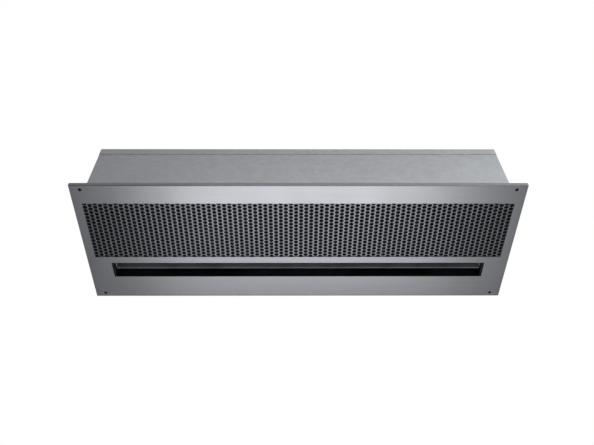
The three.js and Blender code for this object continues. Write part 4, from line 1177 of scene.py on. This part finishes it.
class AIRCURTAIN_OT_scrolls(bpy.types.Operator):
    """Builds the fans' spiral wraps and their sides with rolled inlet rings"""

    bl_idname = "air_curtain.scrolls"
    bl_label = "Build Scrolls"

    def execute(self, context):
        half = SCROLL_SHEET / 2
        bottom = DECK_HIGH[2] + FIT_GAP
        line = [(AXIS_Y + OUTLET_INNER - half, bottom)]
        radius = TONGUE_RADIUS - half
        for angle in spread(0.0, math.pi - CUTOFF_ANGLE, 12):
            line.append((AXIS_Y + TONGUE_Y + radius * math.cos(angle),
                         AXIS_Z - TONGUE_DROP + radius * math.sin(angle)))
        line += [scroll_point(swept, half) for swept in spread(0.0, SCROLL_SWEEP, 120)[1:]]
        line.append((AXIS_Y + OUTLET_OUTER + half, bottom))
        pairs = with_sides(line)
        side_half = (WRAP_HIGH[0] - WRAP_LOW[0]) / 2
        rim = 3 * MM
        first = CUTOFF_ANGLE / 2
        outline = [scroll_point(swept, rim) for swept in spread(first, SCROLL_SWEEP, 100)]
        outline += [(AXIS_Y + OUTLET_OUTER + rim, bottom), (DECK_LOW[1] - FIT_GAP, bottom)]
        for end, side in ENDS:
            wrap = strip(pairs, SCROLL_SHEET, side * FAN_X - side_half, side * FAN_X + side_half)
            piece(f"spiral_wrap_{end}", wrap, "galvanised_casing", stands_for=(f"scroll_wrap_{end}",),
                  edge=0.15 * MM)
            for which, way in (("outer", side), ("inner", -side)):
                low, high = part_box(f"scroll_side_{end}_{which}")
                lip = low[0] if way > 0 else high[0]
                face = lip + way * INLET_LIP
                wall_low = min(face, face + way * SCROLL_SHEET)
                hole = circle(INLET_RADIUS, 96, AXIS_Y, AXIS_Z)
                wall = sheet([(outline, wall_low), (outline, wall_low + SCROLL_SHEET)],
                             [[(hole, wall_low), (hole, wall_low + SCROLL_SHEET)]])
                roll = [(INLET_RADIUS, lip), (INLET_RADIUS, face + way * SCROLL_SHEET)]
                for angle in spread(0.0, math.pi / 2, 10)[1:]:
                    rise = SCROLL_SHEET + INLET_FLARE * math.sin(angle)
                    roll.append((INLET_RADIUS + INLET_FLARE * (1 - math.cos(angle)), face + way * rise))
                back = [(r + SCROLL_SHEET * 0.8, x - way * 0.4 * MM) for r, x in roll[:0:-1]]
                back.append((INLET_RADIUS + SCROLL_SHEET * 0.8, lip))
                ring = turned(roll + back + roll[:1], 96, "X", (0.0, AXIS_Y, AXIS_Z))
                piece(f"inlet_side_{end}_{which}", merged(moved(wall, "X"), ring), "galvanised_casing",
                      stands_for=(f"scroll_side_{end}_{which}",))
        return {"FINISHED"}


class AIRCURTAIN_OT_motors(bpy.types.Operator):
    """Builds the motor cups and dresses cores and brackets"""

    bl_idname = "air_curtain.motors"
    bl_label = "Build Motors"

    def execute(self, context):
        radius, inside, soft = ROTOR_RADIUS, ROTOR_RADIUS - ROTOR_WALL, 1.2 * MM
        half = (ROTOR_HIGH[0] - ROTOR_LOW[0]) / 2
        for end, side in ENDS:
            profile = [
                (0.0, -half), (8 * MM, -half), (9 * MM, 1 * MM - half), (20 * MM, 1 * MM - half),
                (22 * MM, -half), (radius - soft, -half), (radius, soft - half), (radius, half - soft),
                (radius - soft / 2, half), (inside, half), (inside, ROTOR_WALL - half),
                (SHAFT_RADIUS, ROTOR_WALL - half), (SHAFT_RADIUS, half), (0.0, half),
            ]
            profile = [(r, side * (FAN_X + x)) for r, x in profile]
            piece(f"rotor_cup_{end}", turned(profile, 96, "X", (0.0, AXIS_Y, AXIS_Z)), "motor_black",
                  body=f"fan_{end}", stands_for=(f"motor_rotor_{end}",), sharp=30)
            dress(0.2 * MM, f"motor_stator_{end}", f"motor_bracket_{end}")
        return {"FINISHED"}


# ---------------------------------------------------------------- controls and gland


class AIRCURTAIN_OT_controls(bpy.types.Operator):
    """Dresses the control box and what is in it"""

    bl_idname = "air_curtain.controls"
    bl_label = "Build Control Box"

    def execute(self, context):
        dress(0.2 * MM, "control_box", "control_box_lid", "control_board", "terminal_block")
        dress(0.3 * MM, "motor_capacitor_left", "motor_capacitor_right")
        return {"FINISHED"}


CAP_POINTS = 144
CAP_RIBS = 18


def ribbed_loop(radius, depth, x, y):
    """A round outline with grip ribs."""
    loop = []
    for i in range(CAP_POINTS):
        angle = 2 * math.pi * i / CAP_POINTS
        wave = max(0.0, math.cos(CAP_RIBS * angle)) ** 0.5
        reach = radius - depth * (1 - wave)
        loop.append((x + reach * math.cos(angle), y + reach * math.sin(angle)))
    return loop


class AIRCURTAIN_OT_gland(bpy.types.Operator):
    """Builds the cable gland with its hexagon and ribbed cap"""

    bl_idname = "air_curtain.gland"
    bl_label = "Build Cable Gland"

    def execute(self, context):
        x, y = middle("cable_gland")
        wide = (GLAND_HIGH[0] - GLAND_LOW[0]) / 2
        seat, top, bottom = COVER_HIGH[2] + FIT_GAP, GLAND_HIGH[2], GLAND_LOW[2]
        waist = (seat + top) / 2
        rise = top - waist
        bore, barrel, cap = 5 * MM, 9.9 * MM, wide - 2 * MM
        soft, rib = 0.6 * MM, 0.9 * MM
        hexagon = [(circle(wide - inset, 6, x, y, math.pi / 6), height) for inset, height in (
            (soft, seat), (0.0, seat + soft), (0.0, waist - 2 * soft), (soft, waist - soft))]
        hole = circle(barrel - soft, 48, x, y)
        caps = [filled([outline, hole], height) for outline, height in (hexagon[0], hexagon[-1])]
        base = merged(ribbon([lifted(outline, height) for outline, height in hexagon]), *caps)
        profile = [(bore, seat), (bore, bottom + soft), (bore + soft, bottom)]
        profile += thread(barrel, -0.6 * MM, bottom, seat, 1.5 * MM)
        profile += [(barrel - soft, waist), (bore, waist), (bore, seat)]
        shank = turned(profile, 48, at=(x, y, 0.0))
        levels = [(cap - 0.5 * MM, 0.5 * MM, waist), (cap, rib, waist + soft),
                  (cap - 0.4 * MM, rib, waist + rise * 0.62)]
        for part in spread(0.0, 1.0, 6)[1:]:
            across, up = math.cos(part * math.pi / 2), math.sin(part * math.pi / 2)
            radius = cap - 0.4 * MM - 2.8 * MM * (1 - across) - 0.6 * MM * part
            levels.append((radius, rib * (1 - part), waist + rise * (0.62 + 0.38 * up)))
        rings = [lifted(ribbed_loop(radius, depth, x, y), height) for radius, depth, height in levels]
        mouth, throat = circle(bore + soft, CAP_POINTS, x, y), circle(bore, CAP_POINTS, x, y)
        inside = ribbon([rings[-1], lifted(mouth, top), lifted(throat, top - soft), lifted(throat, waist),
                         rings[0]])
        piece("gland_body", merged(base, shank, ribbon(rings), inside), "gland_grey",
              stands_for=("cable_gland",), sharp=30)
        dress(0.3 * MM, "gland_locknut")
        return {"FINISHED"}


# ---------------------------------------------------------------- sidebar and run


OPERATORS = (
    AIRCURTAIN_OT_stage, AIRCURTAIN_OT_panel, AIRCURTAIN_OT_grille, AIRCURTAIN_OT_panel_screws,
    AIRCURTAIN_OT_casing, AIRCURTAIN_OT_hangers, AIRCURTAIN_OT_nozzle, AIRCURTAIN_OT_vane,
    AIRCURTAIN_OT_fan_wheels, AIRCURTAIN_OT_scrolls, AIRCURTAIN_OT_motors, AIRCURTAIN_OT_controls,
    AIRCURTAIN_OT_gland,
)


class AIRCURTAIN_PT_sidebar(bpy.types.Panel):
    """Lists the sizes, the colours and the builders"""

    bl_idname = "AIRCURTAIN_PT_sidebar"
    bl_label = "Air Curtain"
    bl_space_type = "VIEW_3D"
    bl_region_type = "UI"
    bl_category = "Air Curtain"

    def draw(self, context):
        for group in (context.scene.air_curtain_sizes, context.scene.air_curtain_colours):
            for name in group.__annotations__:
                self.layout.prop(group, name)
        for operator in OPERATORS:
            self.layout.operator(operator.bl_idname)


CLASSES = (AirCurtainSizes, AirCurtainColours, *OPERATORS, AIRCURTAIN_PT_sidebar)


def register():
    """Adds the classes and their settings to Blender."""
    for cls in CLASSES:
        bpy.utils.register_class(cls)
    bpy.types.Scene.air_curtain_sizes = PointerProperty(type=AirCurtainSizes)
    bpy.types.Scene.air_curtain_colours = PointerProperty(type=AirCurtainColours)


def unregister():
    """Takes them out again."""
    del bpy.types.Scene.air_curtain_colours
    del bpy.types.Scene.air_curtain_sizes
    for cls in reversed(CLASSES):
        bpy.utils.unregister_class(cls)


def main():
    """Builds everything."""
    register()
    for operator in OPERATORS:
        group, name = operator.bl_idname.split(".")
        getattr(getattr(bpy.ops, group), name)()
    bpy.context.view_layer.update()


if __name__ == "__main__":
    main()
